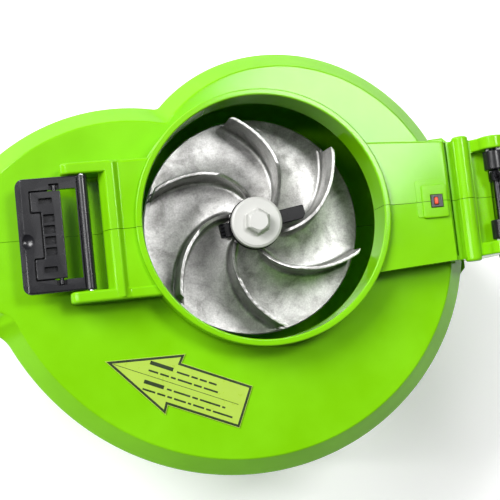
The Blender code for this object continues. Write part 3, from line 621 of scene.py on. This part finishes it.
def arm_draft():
    """Wedge that tips the right half of the arm's top by the mould's draft angle."""
    fall = math.tan(math.radians(1.2))
    right, left = -60.0, 1.0
    outline = [(right, ARM_TOP + right * fall), (left, ARM_TOP + left * fall), (left, ABOVE), (right, ABOVE)]
    return slab("draft", outline, 60.0, 119.0, "X")


def arm_body():
    """Arm from the collar to the hinge, with its rib, lugs, rear foot, shelf and switch boss."""
    spread = math.degrees(math.asin(ARM_ROOT_HALF / ARM_ROOT))
    end = [(ARM_END, -ARM_END_HALF), (ARM_END, ARM_END_HALF)]
    outline = end + arc((0.0, 0.0), ARM_ROOT, spread, -spread, 16)
    arm = cut(slab("arm", outline, FACE - SINK, ARM_TOP, top=1.4, foot=1.2), arm_draft())
    loops = []
    for z in (130.0, FACE - SLOPE_DEEP, FACE - 0.5):
        inner = wall_line(16.3, -15.8, slope_inset(z) + SINK)
        loops.append([(x, y, z) for x, y in inner + end])
    gusset = loft("gusset", loops)
    rib = rod("rib", (129.0, ARM_TOP - 2.3), 5.2, -39.4, 39.4, steps=40, edge=1.8)
    foot_half, chamfer, foot_end = 46.0, 5.0, 136.0
    corners = [(foot_end - chamfer, -foot_half), (foot_end, -foot_half + chamfer),
               (foot_end, foot_half - chamfer), (foot_end - chamfer, foot_half)]
    foot_low, foot_high = 105.0, 150.0
    foot = slab("rear_foot", corners + wall_line(21.2, -19.8, SINK), foot_low, foot_high, top=1.2, bottom=1.2)
    shelf = box("shelf", (131.0, -30.0, HANDLE_TOP + GAP), (146.0, 30.0, SHELF_TOP + 0.5))
    lugs = []
    for side in (-1, 1):
        low, high = sorted((side * LUG_GAP_HALF, side * ARM_END_HALF))
        nose = arc((HINGE.x, HINGE.z), 9.0, -30.0, 180.0, 24)
        lug = nose + [(130.0, 180.0), (130.0, foot_high), (148.0, foot_high)]
        lugs.append(slab("lug", lug, low, high, "Y", top=1.1, bottom=1.1))
    pad = box("pad", (95.6, -9.6, ARM_TOP - 1.0), (115.2, 13.6, ARM_TOP + 0.3), side=1.5, top=0.25)
    boss = box("boss", (99.0, -10.4, ARM_TOP - 1.0), (115.6, 10.4, ARM_TOP + 1.5),
               side=1.6, top=0.9, foot=0.6)
    unite(arm, gusset, rib, foot, shelf, *lugs)
    return unite(arm, pad, boss)


def arm_cuts():
    """Groove with a rounded shoulder and an inner slot, the step behind the rib, and the pin hole."""
    shoulder, left, right, depth = 2.6, 118.3, 123.6, 5.0
    curve = arc((left - shoulder, ARM_TOP - shoulder), shoulder, 100.0, 0.0, 8)
    floor, reach = ARM_TOP - depth, 60.0
    profile = curve + [(left, floor), (right, floor), (right, ABOVE), (112.0, ABOVE)]
    groove = slab("groove", profile, -reach, reach, "Y")
    slot = box("slot", (119.4, -34.6, floor - 1.6), (120.7, 37.0, ARM_TOP))
    step_half = LUG_GAP_HALF - 0.2
    step = box("step", (134.6, -step_half, SHELF_TOP), (160.0, step_half, ABOVE))
    pin = rod("pin_hole", (HINGE.x, HINGE.z), PIN_BORE, -reach, reach)
    return [groove, slot, step, pin]


# ---------------------------------------------------------------- latch bracket and outlet

def bracket_body():
    """Raised block with a two-edged ridge, and two walls that carry the latch pin."""
    root, foot, top = -60.0, FACE - SINK, RIM - 1.5
    ridge = [(root, RIM - 3.6), (-85.5, RIM - 3.4), (-88.0, RIM - 1.2), (-93.2, top),
             (-97.0, RIM - 9.5), (-97.4, foot), (root, foot)]
    bends = [0.0, 2.0, 2.4, 2.4, 5.0, 0.0, 0.0]
    half = BRACKET_HALF - 1.0
    block = slab("block", rounded(ridge, bends, 6), -half, half, "Y", top=1.0, bottom=1.0)
    walls = []
    for side in (-1, 1):
        low, high = sorted((side * (LATCH_HALF + 0.6), side * BRACKET_HALF))
        sunk = RIM - (3.8 if side > 0 else 3.0)
        side_view = [(root, foot), (root, sunk), (-84.0, sunk), (-90.0, top),
                     (BRACKET_END, top), (BRACKET_END, foot)]
        bends = [0.0, 0.0, 3.0, 3.0, 5.5, 0.0]
        walls.append(slab("wall", rounded(side_view, bends, 8), low, high, "Y", top=1.6, bottom=1.6))
    unite(block, *walls)
    return cut(block, rod("bore", (0.0, 0.0), INLET + 1.6, 150.0, ABOVE, "Z", 180))


def outlet_body():
    """Outlet collar with a rolled lip, and the two screw bosses beside it."""
    start = OUTLET_FACE + WALL - 0.4
    tip = OUTLET_TIP
    profile = rounded([(OUTLET_OUTER, start), (OUTLET_OUTER, tip), (OUTLET_BORE, tip), (OUTLET_BORE, start)],
                      [0.0, 1.4, 1.4, 0.0])
    steps = 96
    loops = []
    for i in range(steps):
        a = math.tau * (i + 0.5) / steps
        loops.append([(x, r * math.cos(a), OUTLET_Z + r * math.sin(a)) for r, x in profile])
    tube = loft("tube", loops, closed=True)
    bosses = []
    for side in (-1, 1):
        low, high = sorted((OUTLET_Z + side * (OUTLET_BORE + SINK), OUTLET_Z + side * (OUTLET_BORE + 12.0)))
        bosses.append(box("boss", (OUTLET_FACE - 8.0, -13.0, low), (OUTLET_FACE + SINK, 13.0, high),
                          side=2.0, top=1.2, bottom=1.2))
    return tube, bosses


# Screws along Y: (x, z) places and the y of each head's seat
HOUSING_SCREWS = [((-80.0, 176.0), -36.0), ((127.0, 168.0), -33.0),
                  ((-171.0, 170.5), -11.0), ((-171.0, 68.5), -11.0)]


def screw_voids(screws):
    """Round recesses for the screw heads, open towards -Y."""
    voids = []
    for place_at, seat in screws:
        voids.append(rod("recess", place_at, 4.1, seat - 12.0, seat + 3.0, steps=32))
    return voids


def half_space(side):
    """Everything on one side of the seam plane, short of half the gap."""
    reach = 400.0
    low, high = sorted((side * GAP / 2, side * reach))
    return box("half_space", (-reach, low, -reach), (reach, high, reach))


def split(solid, names):
    """Part a solid at the seam plane into a +Y half and a -Y half."""
    halves = []
    for name, side in zip(names, (1, -1)):
        half = bpy.data.objects.new(name, solid.data.copy())
        bpy.context.scene.collection.objects.link(half)
        halves.append(combine(half, [half_space(side)], "INTERSECT"))
    bpy.data.objects.remove(solid, do_unlink=True)
    return halves


def build_housing(look):
    """Scroll, outlet, arm and bracket as one solid, bored and then parted into two halves."""
    duct = rod("duct", (0.0, OUTLET_Z), OUTLET_BORE + SINK, OUTLET_FACE - 5.0, OUTLET_FACE + 15.0, "X", 80)
    shell = cut(scroll_shell(), duct)
    tube, bosses = outlet_body()
    arm = cut(arm_body(), *arm_cuts())
    unite(shell, tube, *bosses, arm, bracket_body())
    shaft = rod("latch_hole", (LATCH.x, LATCH.z), LATCH_BORE, -39.5, 39.5)
    catch = box("catch_well", (-204.0, -6.3, OUTLET_Z + 30.0), (-191.7, 6.3, 180.0), side=1.5)
    well = box("well", (104.2, -4.2, FACE - WALL + 0.5), (112.4, 4.2, ABOVE))
    cut(shell, shaft, catch, well, *screw_voids(HOUSING_SCREWS))
    halves = split(shell, ("housing_shell_left", "housing_shell_right"))
    for half, node in zip(halves, ("fan_housing_left", "fan_housing_right")):
        show(half, "housing", look, "housing_green", node, angle=32.0)


# ---------------------------------------------------------------- impeller

BLADE_COUNT = 6
BLADE_TIP_ANGLE = 98.5
BLADE_SWEEP = 53.0
BLADE_CURL = 7.0
BLADE_ROOT = 17.2
BLADE_TIP = 67.0
BLADE_CORNER = 38.0
BLADE_SEAT = 149.7
DISC_RIM = 137.0
DISC_RISE = 10.0
RING_START = 16.0
SHAFT_BORE = 4.3


def blade_share(radius):
    return (BLADE_TIP - radius) / (BLADE_TIP - BLADE_ROOT)


def blade_angle(radius):
    share = blade_share(radius)
    return BLADE_TIP_ANGLE - BLADE_SWEEP * share - BLADE_CURL * share ** 2


def blade_slope(radius):
    """Change of the blade's angle with radius, in radians per millimetre."""
    return math.radians(BLADE_SWEEP + 2 * BLADE_CURL * blade_share(radius)) / (BLADE_TIP - BLADE_ROOT)


def floor_height(radius):
    """The dished floor between the blades, which flares up into the hub."""
    share = min(1.0, max(0.0, (IMPELLER_RADIUS - radius) / (IMPELLER_RADIUS - RING_START)))
    return DISC_RIM + DISC_RISE * share ** 2.2


def blade_height(radius):
    """Top of the blades: level outside the corner, and falling to the hub's seat inside it."""
    share = min(1.0, max(0.0, (radius - BLADE_ROOT) / (BLADE_CORNER - BLADE_ROOT)))
    return BLADE_SEAT + (BLADE_TOP - BLADE_SEAT) * share - 0.12 * math.sin(radius * 1.9)


def blade_section(height):
    """Half of a blade's cross-section as (distance from its middle, share of its height)."""
    foot, crown = 1.75, 1.05
    fillet = min(2.8, 0.45 * height)
    points = [(foot + fillet * (1 - math.sin(a)), fillet * (1 - math.cos(a)))
              for a in (math.radians(22.5 * k) for k in range(5))]
    points += [(crown + 0.06, height - 0.6), (crown - 0.1, height - 0.15), (crown - 0.4, height)]
    return points


def impeller_ring(radius):
    """One ring of points round the impeller, through the blades and the floor between them."""
    pitch = 360.0 / BLADE_COUNT
    floor = floor_height(radius)
    height = blade_height(radius) - floor if radius <= BLADE_TIP else 0.3
    stretch = math.sqrt(1 + (blade_slope(radius) * radius) ** 2)
    section = blade_section(height)
    sides = [(-d, h) for d, h in section] + [(d, h) for d, h in reversed(section)]
    gap_steps = 10
    ring = []
    for k in range(BLADE_COUNT):
        middle = blade_angle(radius) + k * pitch
        angles = [(middle + math.degrees(d * stretch / radius), floor + h) for d, h in sides]
        last = angles[-1][0]
        first = angles[0][0] + pitch
        dish = 0.9 * math.sin(math.pi * min(1.0, 0.9 * (1 - blade_share(radius))))
        for i in range(1, gap_steps):
            share = i / gap_steps
            angles.append((last + (first - last) * share, floor - dish * math.sin(math.pi * share)))
        for a, z in angles:
            ring.append((radius * math.cos(math.radians(a)), radius * math.sin(math.radians(a)), z))
    return ring


def build_impeller(look):
    """Cast impeller: rings from the bore over the hub, out along the blades and under the back."""
    steps = 44
    disc_back = DISC_RIM - 6.5
    hub = [(22.0, disc_back), (18.0, IMPELLER_BACK), (SHAFT_BORE, IMPELLER_BACK),
           (SHAFT_BORE, BLADE_SEAT), (14.0, BLADE_SEAT), (15.4, BLADE_SEAT - 0.5)]
    rings = [hub_ring(radius, z) for radius, z in hub]
    rings += [impeller_ring(RING_START + (BLADE_TIP - RING_START) * i / steps) for i in range(steps + 1)]
    rings += [impeller_ring(r) for r in (BLADE_TIP + 0.4, BLADE_TIP + 1.6, IMPELLER_RADIUS - 0.7)]
    rim = impeller_ring(IMPELLER_RADIUS)
    rings += [at_height(rim, z) for z in (DISC_RIM - 0.7, disc_back + 0.8)]
    rings.append(at_height(impeller_ring(IMPELLER_RADIUS - 0.8), disc_back))
    item = loft("impeller_casting", rings, closed=True)
    show(item, "rotor", look, "cast_aluminium", "impeller", angle=40.0)


def at_height(ring, z):
    """The same ring, flattened to one height."""
    return [(x, y, z) for x, y, _ in ring]


def hub_ring(radius, z):
    """A level ring with its points on the same rays as the innermost blade ring."""
    ring = []
    for x, y, _ in impeller_ring(RING_START):
        reach = math.hypot(x, y)
        ring.append((radius * x / reach, radius * y / reach, z))
    return ring


def build_mulching_blade(look):
    """Mulching blade: a bar on a disc, with a toothed upturn at its short end."""
    half, long_end, short_end, clip, thick = 4.4, 33.0, -23.6, 2.5, 3.0
    low = NUT_BASE - GAP - thick
    corners = [(short_end + 1.0, -half), (long_end - clip, -half), (long_end, -half + clip), (long_end, half),
               (short_end + 1.0, half)]
    outline = rounded(corners, [0.4, 1.0, 1.0, 1.2, 0.4])
    bar = slab("mulching_bar", outline, low, low + thick, top=0.5, bottom=0.3)
    disc = rod("disc", (0.0, 0.0), 16.8, low, low + thick, "Z", 64, 0.5)
    teeth = [(-half, low + 1.5), (half, low + 1.5), (half, low + 7.4)]
    for i in range(4):
        y = half - (i + 0.5) * half / 2
        teeth += [(y + 0.5, low + 8.0), (y, low + 7.1)]
    teeth.append((-half, low + 7.6))
    upturn = slab("upturn", teeth, short_end, short_end + 2.8, "X", top=0.4, bottom=0.3)
    unite(bar, disc, upturn)
    cut(bar, rod("bore", (0.0, 0.0), SHAFT_BORE, 140.0, 170.0, "Z"))
    turn_about(bar, (0, 0, 0), 9.0, "Z")
    show(bar, "rotor", look, "blade_steel", "mulching_blade")


def build_nut(look):
    """Flanged hexagon nut: dished disc, soft-cornered hexagon with a domed, chamfered top."""
    rim, lip, top = 16.2, NUT_BASE + 4.9, NUT_BASE + 5.7
    flange = [(SHAFT_BORE, NUT_BASE), (rim, NUT_BASE), (rim, lip), (rim - 1.6, top), (SHAFT_BORE, top)]
    nut = turned("flanged_nut", rounded(flange, [0.3, 0.5, 0.8, 0.8, 0.3]))
    corner, first = 14.5 / math.sqrt(3), 24.7
    hexagon = rounded(arc((0.0, 0.0), corner, first, first + 300.0, 5), 0.9, 5)
    first += 180.0 / len(hexagon)
    crown = arc((0.0, 0.0), 5.6, first, first + 360.0, len(hexagon))[:-1]
    loops = []
    for z, grow, dome in ((NUT_BASE + 4.5, 1.0, 0.0), (NUT_BASE + 5.9, 0.9, 0.0), (NUT_BASE + 6.6, 0.0, 0.0),
                          (NUT_TOP - 2.0, -0.2, 0.0), (NUT_TOP - 1.1, -0.4, 0.2), (NUT_TOP - 0.4, -0.6, 0.6),
                          (NUT_TOP - 0.1, -0.8, 0.85), (NUT_TOP, -1.0, 1.0)):
        pairs = zip(offset(hexagon, grow), crown)
        loops.append([(a * (1 - dome) + c * dome, b * (1 - dome) + d * dome, z) for (a, b), (c, d) in pairs])
    unite(nut, loft("hexagon", loops))
    show(nut, "rotor", look, "nut_white", "impeller_nut")


# ---------------------------------------------------------------- latch

def build_lever(look):
    """Latch lever: a plate with a chamfered left edge, a thumb dimple, a window, a raised bar and a thin dark
    sheet under the window that paints the shade in its gaps.
    """
    low, high = 182.8, 187.3
    left, right = -146.0, -109.0
    plate = [(left, -LATCH_HALF), (right, -LATCH_HALF), (right, LATCH_HALF), (left, LATCH_HALF)]
    plate = rounded(plate, [5.0, 0.8, 0.8, 5.0], 6)
    lever = slab("latch_lever_plate", plate, low, high, top=1.3, bottom=0.6, steps=5)
    bar = rod("bar", (LATCH.x, LATCH.z), 3.2, -LATCH_HALF, LATCH_HALF, steps=32, edge=0.6)
    # A thin dark sheet under the window's gaps, put there so that the gaps read as shade.
    web = box("web", (-141.0, -28.0, low - 0.7), (-127.4, 28.0, low - 0.1))
    unite(lever, bar)
    far, near, tongue_end = -138.4, -111.0, -132.8
    wide, tongue = 26.6, 13.0
    opening = [(far, tongue), (far, wide), (near, wide), (near, -wide), (far, -wide), (far, -tongue),
               (tongue_end, -tongue), (tongue_end, tongue)]
    window = slab("window", rounded(opening, 0.8, 3), 170.0, ABOVE)
    notches = []
    for y in (-27.8, 27.8):
        notches.append(box("notch", (-126.5, y - 2.2, 184.0), (-120.5, y + 2.2, ABOVE), side=0.5))
    dimple = turned("dimple", arc((0.0, 0.0), 6.2, -90.0, 90.0, 16), 32)
    dimple.data.transform(Matrix.Translation(Vector((-141.6, -3.0, 191.6)) * MM))
    fall, inner = high - 2.6, left + 3.4
    outer, over = left - 4.0, high + 1.0
    edge = [(outer, over), (outer, fall), (left - 0.5, fall), (inner, high), (inner, over)]
    slope = slab("slope", edge, -LATCH_HALF - 5.0, LATCH_HALF + 5.0, "Y")
    hole = rod("bore", (LATCH.x, LATCH.z), LATCH_BORE, -50.0, 50.0)
    pivot = rod("pivot", (BAIL.x, LATCH.z), 1.6, -30.0, 30.0)
    cut(lever, window, slope, *notches, dimple, hole, pivot)
    unite(lever, web)
    show(lever, "lever", look, "latch_black", "latch_lever", angle=40.0)


def build_bail(look):
    """Latch bail: two slotted arms, a spine, four pockets with ejector marks, and trunnions."""
    low, high, floor = 183.2, 187.1, 184.0
    half, arm_width = 25.8, 12.0
    notch = half - arm_width
    far, spine, near = -137.6, -132.0, -120.0
    outline = [(far, notch), (far, half), (near, half), (near, -half), (far, -half), (far, -notch),
               (spine, -notch), (spine, notch)]
    bail = slab("latch_bail_frame", rounded(outline, 0.9, 3), low, high, top=0.5, bottom=0.4, steps=3)
    pitch, pocket = 6.5, 2.5
    middles = [(i - 1.5) * pitch for i in range(4)]
    voids = []
    for y in middles:
        voids.append(box("pocket", (-131.0, y - pocket, floor), (-124.6, y + pocket, ABOVE), side=0.4))
    for y in (-20.2, 20.2):
        voids.append(box("slot", (-133.0, y - 1.7, floor), (-125.2, y + 1.7, ABOVE), side=0.6))
    cut(bail, *voids)
    marks = [rod("mark", (-125.9, y - 0.3), 1.1, floor - 0.5, floor + 0.35, "Z", 20, 0.15) for y in middles]
    trunnions = rod("trunnions", (BAIL.x, LATCH.z), 1.3, -29.4, 29.4, edge=0.3)
    unite(bail, trunnions, *marks)
    show(bail, "bail", look, "latch_black", "latch_bail", angle=40.0)


# ---------------------------------------------------------------- label

# Rows of plain bars on the label: start, distance from the middle line, half height and bar widths
LABEL_ROWS = [(26.0, 7.8, 1.15, (14.5,)), (43.0, 7.2, 0.55, (8.0, 4.0, 4.5, 5.0)),
              (26.5, 3.1, 0.55, (6.0, 5.5, 3.0, 9.0, 5.0, 9.0)), (26.0, -4.0, 1.15, (12.5,)),
              (40.5, -4.3, 0.55, (3.0, 10.5, 3.5, 13.0, 2.0)),
              (26.5, -8.5, 0.55, (8.0, 5.0, 3.0, 7.5, 2.0, 7.0, 3.0, 12.5))]


def build_label(film_look, ink_look):
    """Arrow label with a dark outline, a thin middle line and plain bars for its print."""
    tip, tail = Vector((-103.0, -76.5)), Vector((-21.0, -113.0))
    along = (tail - tip).normalized()
    across = Vector((-along.y, along.x))
    length = (tail - tip).length
    head, notch, barb, shaft = 44.6, 44.1, 19.2, 13.3
    half = [(head, barb), (notch, shaft), (length, shaft)]
    arrow = [(0.0, 0.0)] + [(a, -b) for a, b in half] + half[::-1]
    outline = [tuple(tip + along * a + across * b) for a, b in arrow]
    base, top = FACE + 0.3, FACE + 0.6
    show(slab("arrow_label_film", outline, base, top, top=0.05, steps=2),
         "housing", film_look, "label_film", "arrow_label")
    low, high = top - 0.06, top + 0.06
    border = slab("arrow_label_print", offset(outline, -0.35), low, high)
    cut(border, slab("inside", offset(outline, -1.75), low - 1.0, high + 1.0))
    bars = [(5.5, length - 5.0, 0.0, 0.16)]
    for start, middle, size, widths in LABEL_ROWS:
        for width in widths:
            bars.append((start, start + width, middle, size))
            start += width + 1.3
    tools = []
    for start, end, middle, size in bars:
        corners = [(start, middle - size), (end, middle - size), (end, middle + size), (start, middle + size)]
        tools.append(slab("bar", [tuple(tip + along * a + across * b) for a, b in corners], low, high))
    unite(border, *tools)
    show(border, "housing", ink_look, "gate_black")


# ---------------------------------------------------------------- other parts

def build_interlock(guide_look, red_look):
    """Interlock: a square black sleeve in the arm, and the red plunger that runs in it."""
    guide = box("interlock_guide_sleeve", (104.5, -3.9, 172.0), (112.1, 3.9, ARM_TOP + 1.9),
                side=0.4, top=0.3)
    cut(guide, box("well", (106.4, -2.5, 160.0), (109.2, 2.5, ABOVE), side=0.4))
    show(guide, "housing", guide_look, "gate_black", "interlock_guide")
    plunger = box("interlock_plunger_cap", (106.7, -2.2, 169.0), (108.9, 2.2, ARM_TOP + 3.2),
                  side=0.9, top=0.9)
    show(plunger, "plunger", red_look, "plunger_red", "interlock_plunger")


def build_cover(look):
    """Motor cover: cup with rounded edges, side slots and end vents."""
    outer, inner, wall = 52.0, 49.0, 3.0
    pole, steps = 0.01, 108
    profile = [(pole, 0.0), (outer, 0.0), (outer, COVER_TOP), (inner, COVER_TOP), (inner, wall), (pole, wall)]
    cover = turned("motor_cover_cup", rounded(profile, [0.0, 4.5, 0.4, 0.4, 2.5, 0.0], 6), steps)
    near, far, low, high = outer - 0.7, outer + 3.0, 60.0, 61.2
    groove = turned("groove", [(near, low), (far, low), (far, high), (near, high)], steps)
    slots = []
    for i in range(1, 12):
        slot = box("slot", (40.0, -3.0, 16.0), (60.0, 3.0, 52.0))
        slots.append(turn_about(slot, (0, 0, 0), 30.0 * i + 5.0, "Z"))
    for i in range(6):
        vent = box("vent", (22.0, -2.0, -2.0), (38.0, 2.0, 6.0), side=1.9)
        slots.append(turn_about(vent, (0, 0, 0), 60.0 * i, "Z"))
    cut(cover, groove, *slots)
    show(cover, "housing", look, "cover_black", "motor_cover")


def build_gate(look):
    """Intake gate, made closed over the rim and swung open: slotted disc, skirt, tongue and knuckles."""
    low = RIM + 1.5
    top = low + 5.0
    radius = 83.0
    gate = rod("intake_gate_grille", (0.0, 0.0), radius, low, top, "Z", 128, 0.8)
    tongue_half, nose_half, nose_end = LUG_GAP_HALF - 1.0, 20.0, -96.0
    tongue = box("tongue", (70.0, -tongue_half, low), (HINGE.x - 3.0, tongue_half, top), top=0.8, bottom=0.8)
    nose = box("nose", (nose_end, -nose_half, low), (-70.0, nose_half, top), side=3.0, top=0.8, bottom=0.8)
    hook = box("hook", (nose_end, -nose_half, top - 1.0), (nose_end + 3.5, nose_half, top + 5.5),
               side=0.8, top=1.0)
    inner, foot, lip = radius - 2.5, top - 1.0, top + 9.0
    ring = rounded([(radius, foot), (radius, lip), (inner, lip), (inner, foot)], [0.0, 1.0, 1.0, 0.0])
    skirt = turned("skirt", ring, 128)
    spring_half = tongue_half - 12.0
    knuckles = []
    for side in (-1, 1):
        near, far = sorted((side * spring_half, side * tongue_half))
        knuckles.append(rod("knuckle", (HINGE.x, HINGE.z), 6.5, near, far, steps=48, edge=0.8))
    unite(gate, tongue, nose, hook, skirt, *knuckles)
    under, over = 180.0, 220.0
    pitch, half_slot, spine_half, grille = 15.0, 4.8, 5.0, 70.0
    openings = []
    for i in range(-4, 5):
        middle = pitch * i
        chord = math.sqrt(grille ** 2 - middle ** 2) - 2.0
        for side in (-1, 1):
            near, far = sorted((side * spine_half, side * chord))
            openings.append(box("opening", (middle - half_slot, near, under), (middle + half_slot, far, over),
                                side=2.0))
    room = box("spring_room", (HINGE.x - 8.5, -spring_half, 170.0), (HINGE.x + 10.0, spring_half, 210.0))
    bore = rod("bore", (HINGE.x, HINGE.z), PIN_BORE, -40.0, 40.0)
    cut(gate, room, bore, *openings)
    soften(gate, 0.35, 2, 40.0)
    turn_about(gate, HINGE, GATE_OPEN)
    show(gate, "gate", look, "gate_black", "intake_gate", angle=40.0)


def build_hinge_spring(look):
    """Fine coil spring round the hinge pin."""
    turns, steps = 9, 24
    coil, wire = 4.3, 0.32
    low, high = node_low("hinge_spring").y + wire, node_high("hinge_spring").y - wire
    section = arc((0.0, 0.0), wire, 0.0, 360.0, 8)[:-1]
    rings = []
    for i in range(turns * steps + 1):
        a = math.tau * i / steps
        y = low + (high - low) * i / (turns * steps)
        rings.append([(HINGE.x + (coil + out) * math.sin(a), y + along, HINGE.z + (coil + out) * math.cos(a))
                      for out, along in section])
    show(loft("hinge_spring_coil", rings), "housing", look, "dark_steel", "hinge_spring")


def build_rest(looks):
    """The remaining CAD nodes: those in sight get rounded edges, the inner ones a finish of their own."""
    softened = {"handle_left": 0.5, "handle_right": 0.5, "trigger": 0.5, "power_inlet": 0.4, "cord_hook": 0.5,
                "tube_catch": 0.3, "handle_grip_pad": 0.3, "hinge_pin": 0.3}
    slots = {part["node"]: part["material_slot"] for part in frame["record"]["subparts"]}
    for node, item in frame["nodes"].items():
        if item.hide_render:
            continue
        slot = slots[node]
        if node in softened:
            show(refined(node, softened[node]), item["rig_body"], looks[slot], slot, node, angle=40.0)
        else:
            item.data.materials.clear()
            item.data.materials.append(looks[slot])


# ---------------------------------------------------------------- studio

def build_floor():
    """Plain pale floor, a little self-lit so that it comes out white round the shadow."""
    reach = 6000.0
    floor = slab("floor", [(-reach, -reach), (reach, -reach), (reach, reach), (-reach, reach)], -20.0, -0.1)
    look = Look("floor_white", 0.6, Emission_Color=(1.0, 1.0, 1.0, 1.0), Emission_Strength=0.30)
    look.link(look.ramp(look.noise(400.0), (0.3, 0.92), (0.7, 0.94)), "Base Color")
    floor.data.materials.append(look.material)


def add_light(name, place_at, target, width, height, power):
    """Rectangular area light: sizes in metres, power in watts."""
    data = bpy.data.lights.new(name, "AREA")
    data.shape = "RECTANGLE"
    data.size = width
    data.size_y = height
    data.energy = power
    item = bpy.data.objects.new(name, data)
    bpy.context.scene.collection.objects.link(item)
    item.location = place_at
    item.rotation_euler = (Vector(target) - Vector(place_at)).to_track_quat("-Z", "Y").to_euler()


def build_studio():
    """Dim white world; a window and a narrow strip seen as glints, a soft overhead, a large side light."""
    world = bpy.data.worlds.new("studio")
    bpy.context.scene.world = world
    world.use_nodes = True
    background = world.node_tree.nodes["Background"]
    background.inputs["Color"].default_value = (1.0, 1.0, 1.0, 1.0)
    background.inputs["Strength"].default_value = 0.12
    add_light("window", (0.50, 0.43, 1.69), (0.10, 0.05, 0.15), 0.44, 0.38, 14.0)
    add_light("overhead", (-0.35, 0.60, 1.69), (0.0, 0.0, 0.15), 0.9, 1.0, 2.0)
    add_light("strip", (-1.45, 0.10, 1.75), (0.0, 0.0, 0.15), 0.12, 1.6, 11.0)
    add_light("side", (-2.2, 1.8, 2.4), (0.0, 0.0, 0.1), 2.0, 2.0, 185.0)
    bpy.context.scene.view_settings.view_transform = "Standard"


def build_camera():
    """Camera above the intake, looking down and slightly towards +X and +Y."""
    at = Vector((-0.1242, -0.0753, RIM * MM + 0.6442))
    back = Vector((-0.1711, -0.0845, 0.9816)).normalized()
    up_hint = Vector((0.0910, 0.9906, 0.1011))
    right = up_hint.cross(back).normalized()
    up = back.cross(right)
    camera = bpy.data.objects.new("camera", bpy.data.cameras.new("camera"))
    bpy.context.scene.collection.objects.link(camera)
    camera.matrix_world = Matrix.Translation(at) @ Matrix((right, up, back)).transposed().to_4x4()
    camera.data.sensor_width = 36.0
    camera.data.lens = 79.2
    bpy.context.scene.camera = camera


def build_looks():
    """The materials by the frame's material slots, and the label's ink."""
    green = (0.168, 0.485, 0.0010)
    return {
        "housing_green": moulded("green_plastic", green, 0.14, grain=0.4, depth=0.003, edge_wear_and_glint=0.15,
                                 Specular_IOR_Level=0.20),
        "cover_black": moulded("cover_plastic", (0.022, 0.022, 0.024), 0.48, grain=0.5, depth=0.02),
        "gate_black": moulded("gate_plastic", (0.007, 0.007, 0.008), 0.22, grain=0.45, depth=0.010, edge_wear_and_glint=0.06,
                              Specular_IOR_Level=0.36),
        # The latch's strong edge setting paints pale highlights along its edges, beyond any wear.
        "latch_black": moulded("latch_plastic", (0.007, 0.007, 0.009), 0.26, grain=0.5, depth=0.01, edge_wear_and_glint=0.6),
        "grip_rubber": rubber("grip_rubber"),
        "cast_aluminium": cast_metal("cast_aluminium"),
        "nut_white": moulded("nut_plastic", (0.47, 0.47, 0.45), 0.42, grain=0.5, depth=0.008, edge_wear_and_glint=0.1),
        "blade_steel": moulded("blackened_steel", (0.004, 0.004, 0.005), 0.30, grain=0.5, depth=0.01,
                               edge_wear_and_glint=0.05, Specular_IOR_Level=0.12),
        "dark_steel": plain_metal("dark_steel", (0.05, 0.05, 0.055), 0.30),
        "bright_steel": plain_metal("bright_steel", (0.62, 0.62, 0.63), 0.26),
        "core_steel": plain_metal("core_steel", (0.32, 0.32, 0.33), 0.45),
        "copper": winding("copper_winding"),
        "carbon": moulded("carbon_brush", (0.045, 0.045, 0.050), 0.6, grain=0.3, depth=0.02),
        "plunger_red": moulded("plunger_plastic", (0.78, 0.075, 0.028), 0.35, grain=0.3, depth=0.006),
        "label_film": film("label_film", (0.34, 0.50, 0.050)),
        "ink": film("label_ink", (0.015, 0.030, 0.006)),
    }


looks = build_looks()
build_housing(looks["housing_green"])
build_impeller(looks["cast_aluminium"])
build_mulching_blade(looks["blade_steel"])
build_nut(looks["nut_white"])
build_lever(looks["latch_black"])
build_bail(looks["latch_black"])
build_label(looks["label_film"], looks["ink"])
build_interlock(looks["gate_black"], looks["plunger_red"])
build_cover(looks["cover_black"])
build_gate(looks["gate_black"])
build_hinge_spring(looks["dark_steel"])
build_rest(looks)
build_floor()
build_studio()
build_camera()
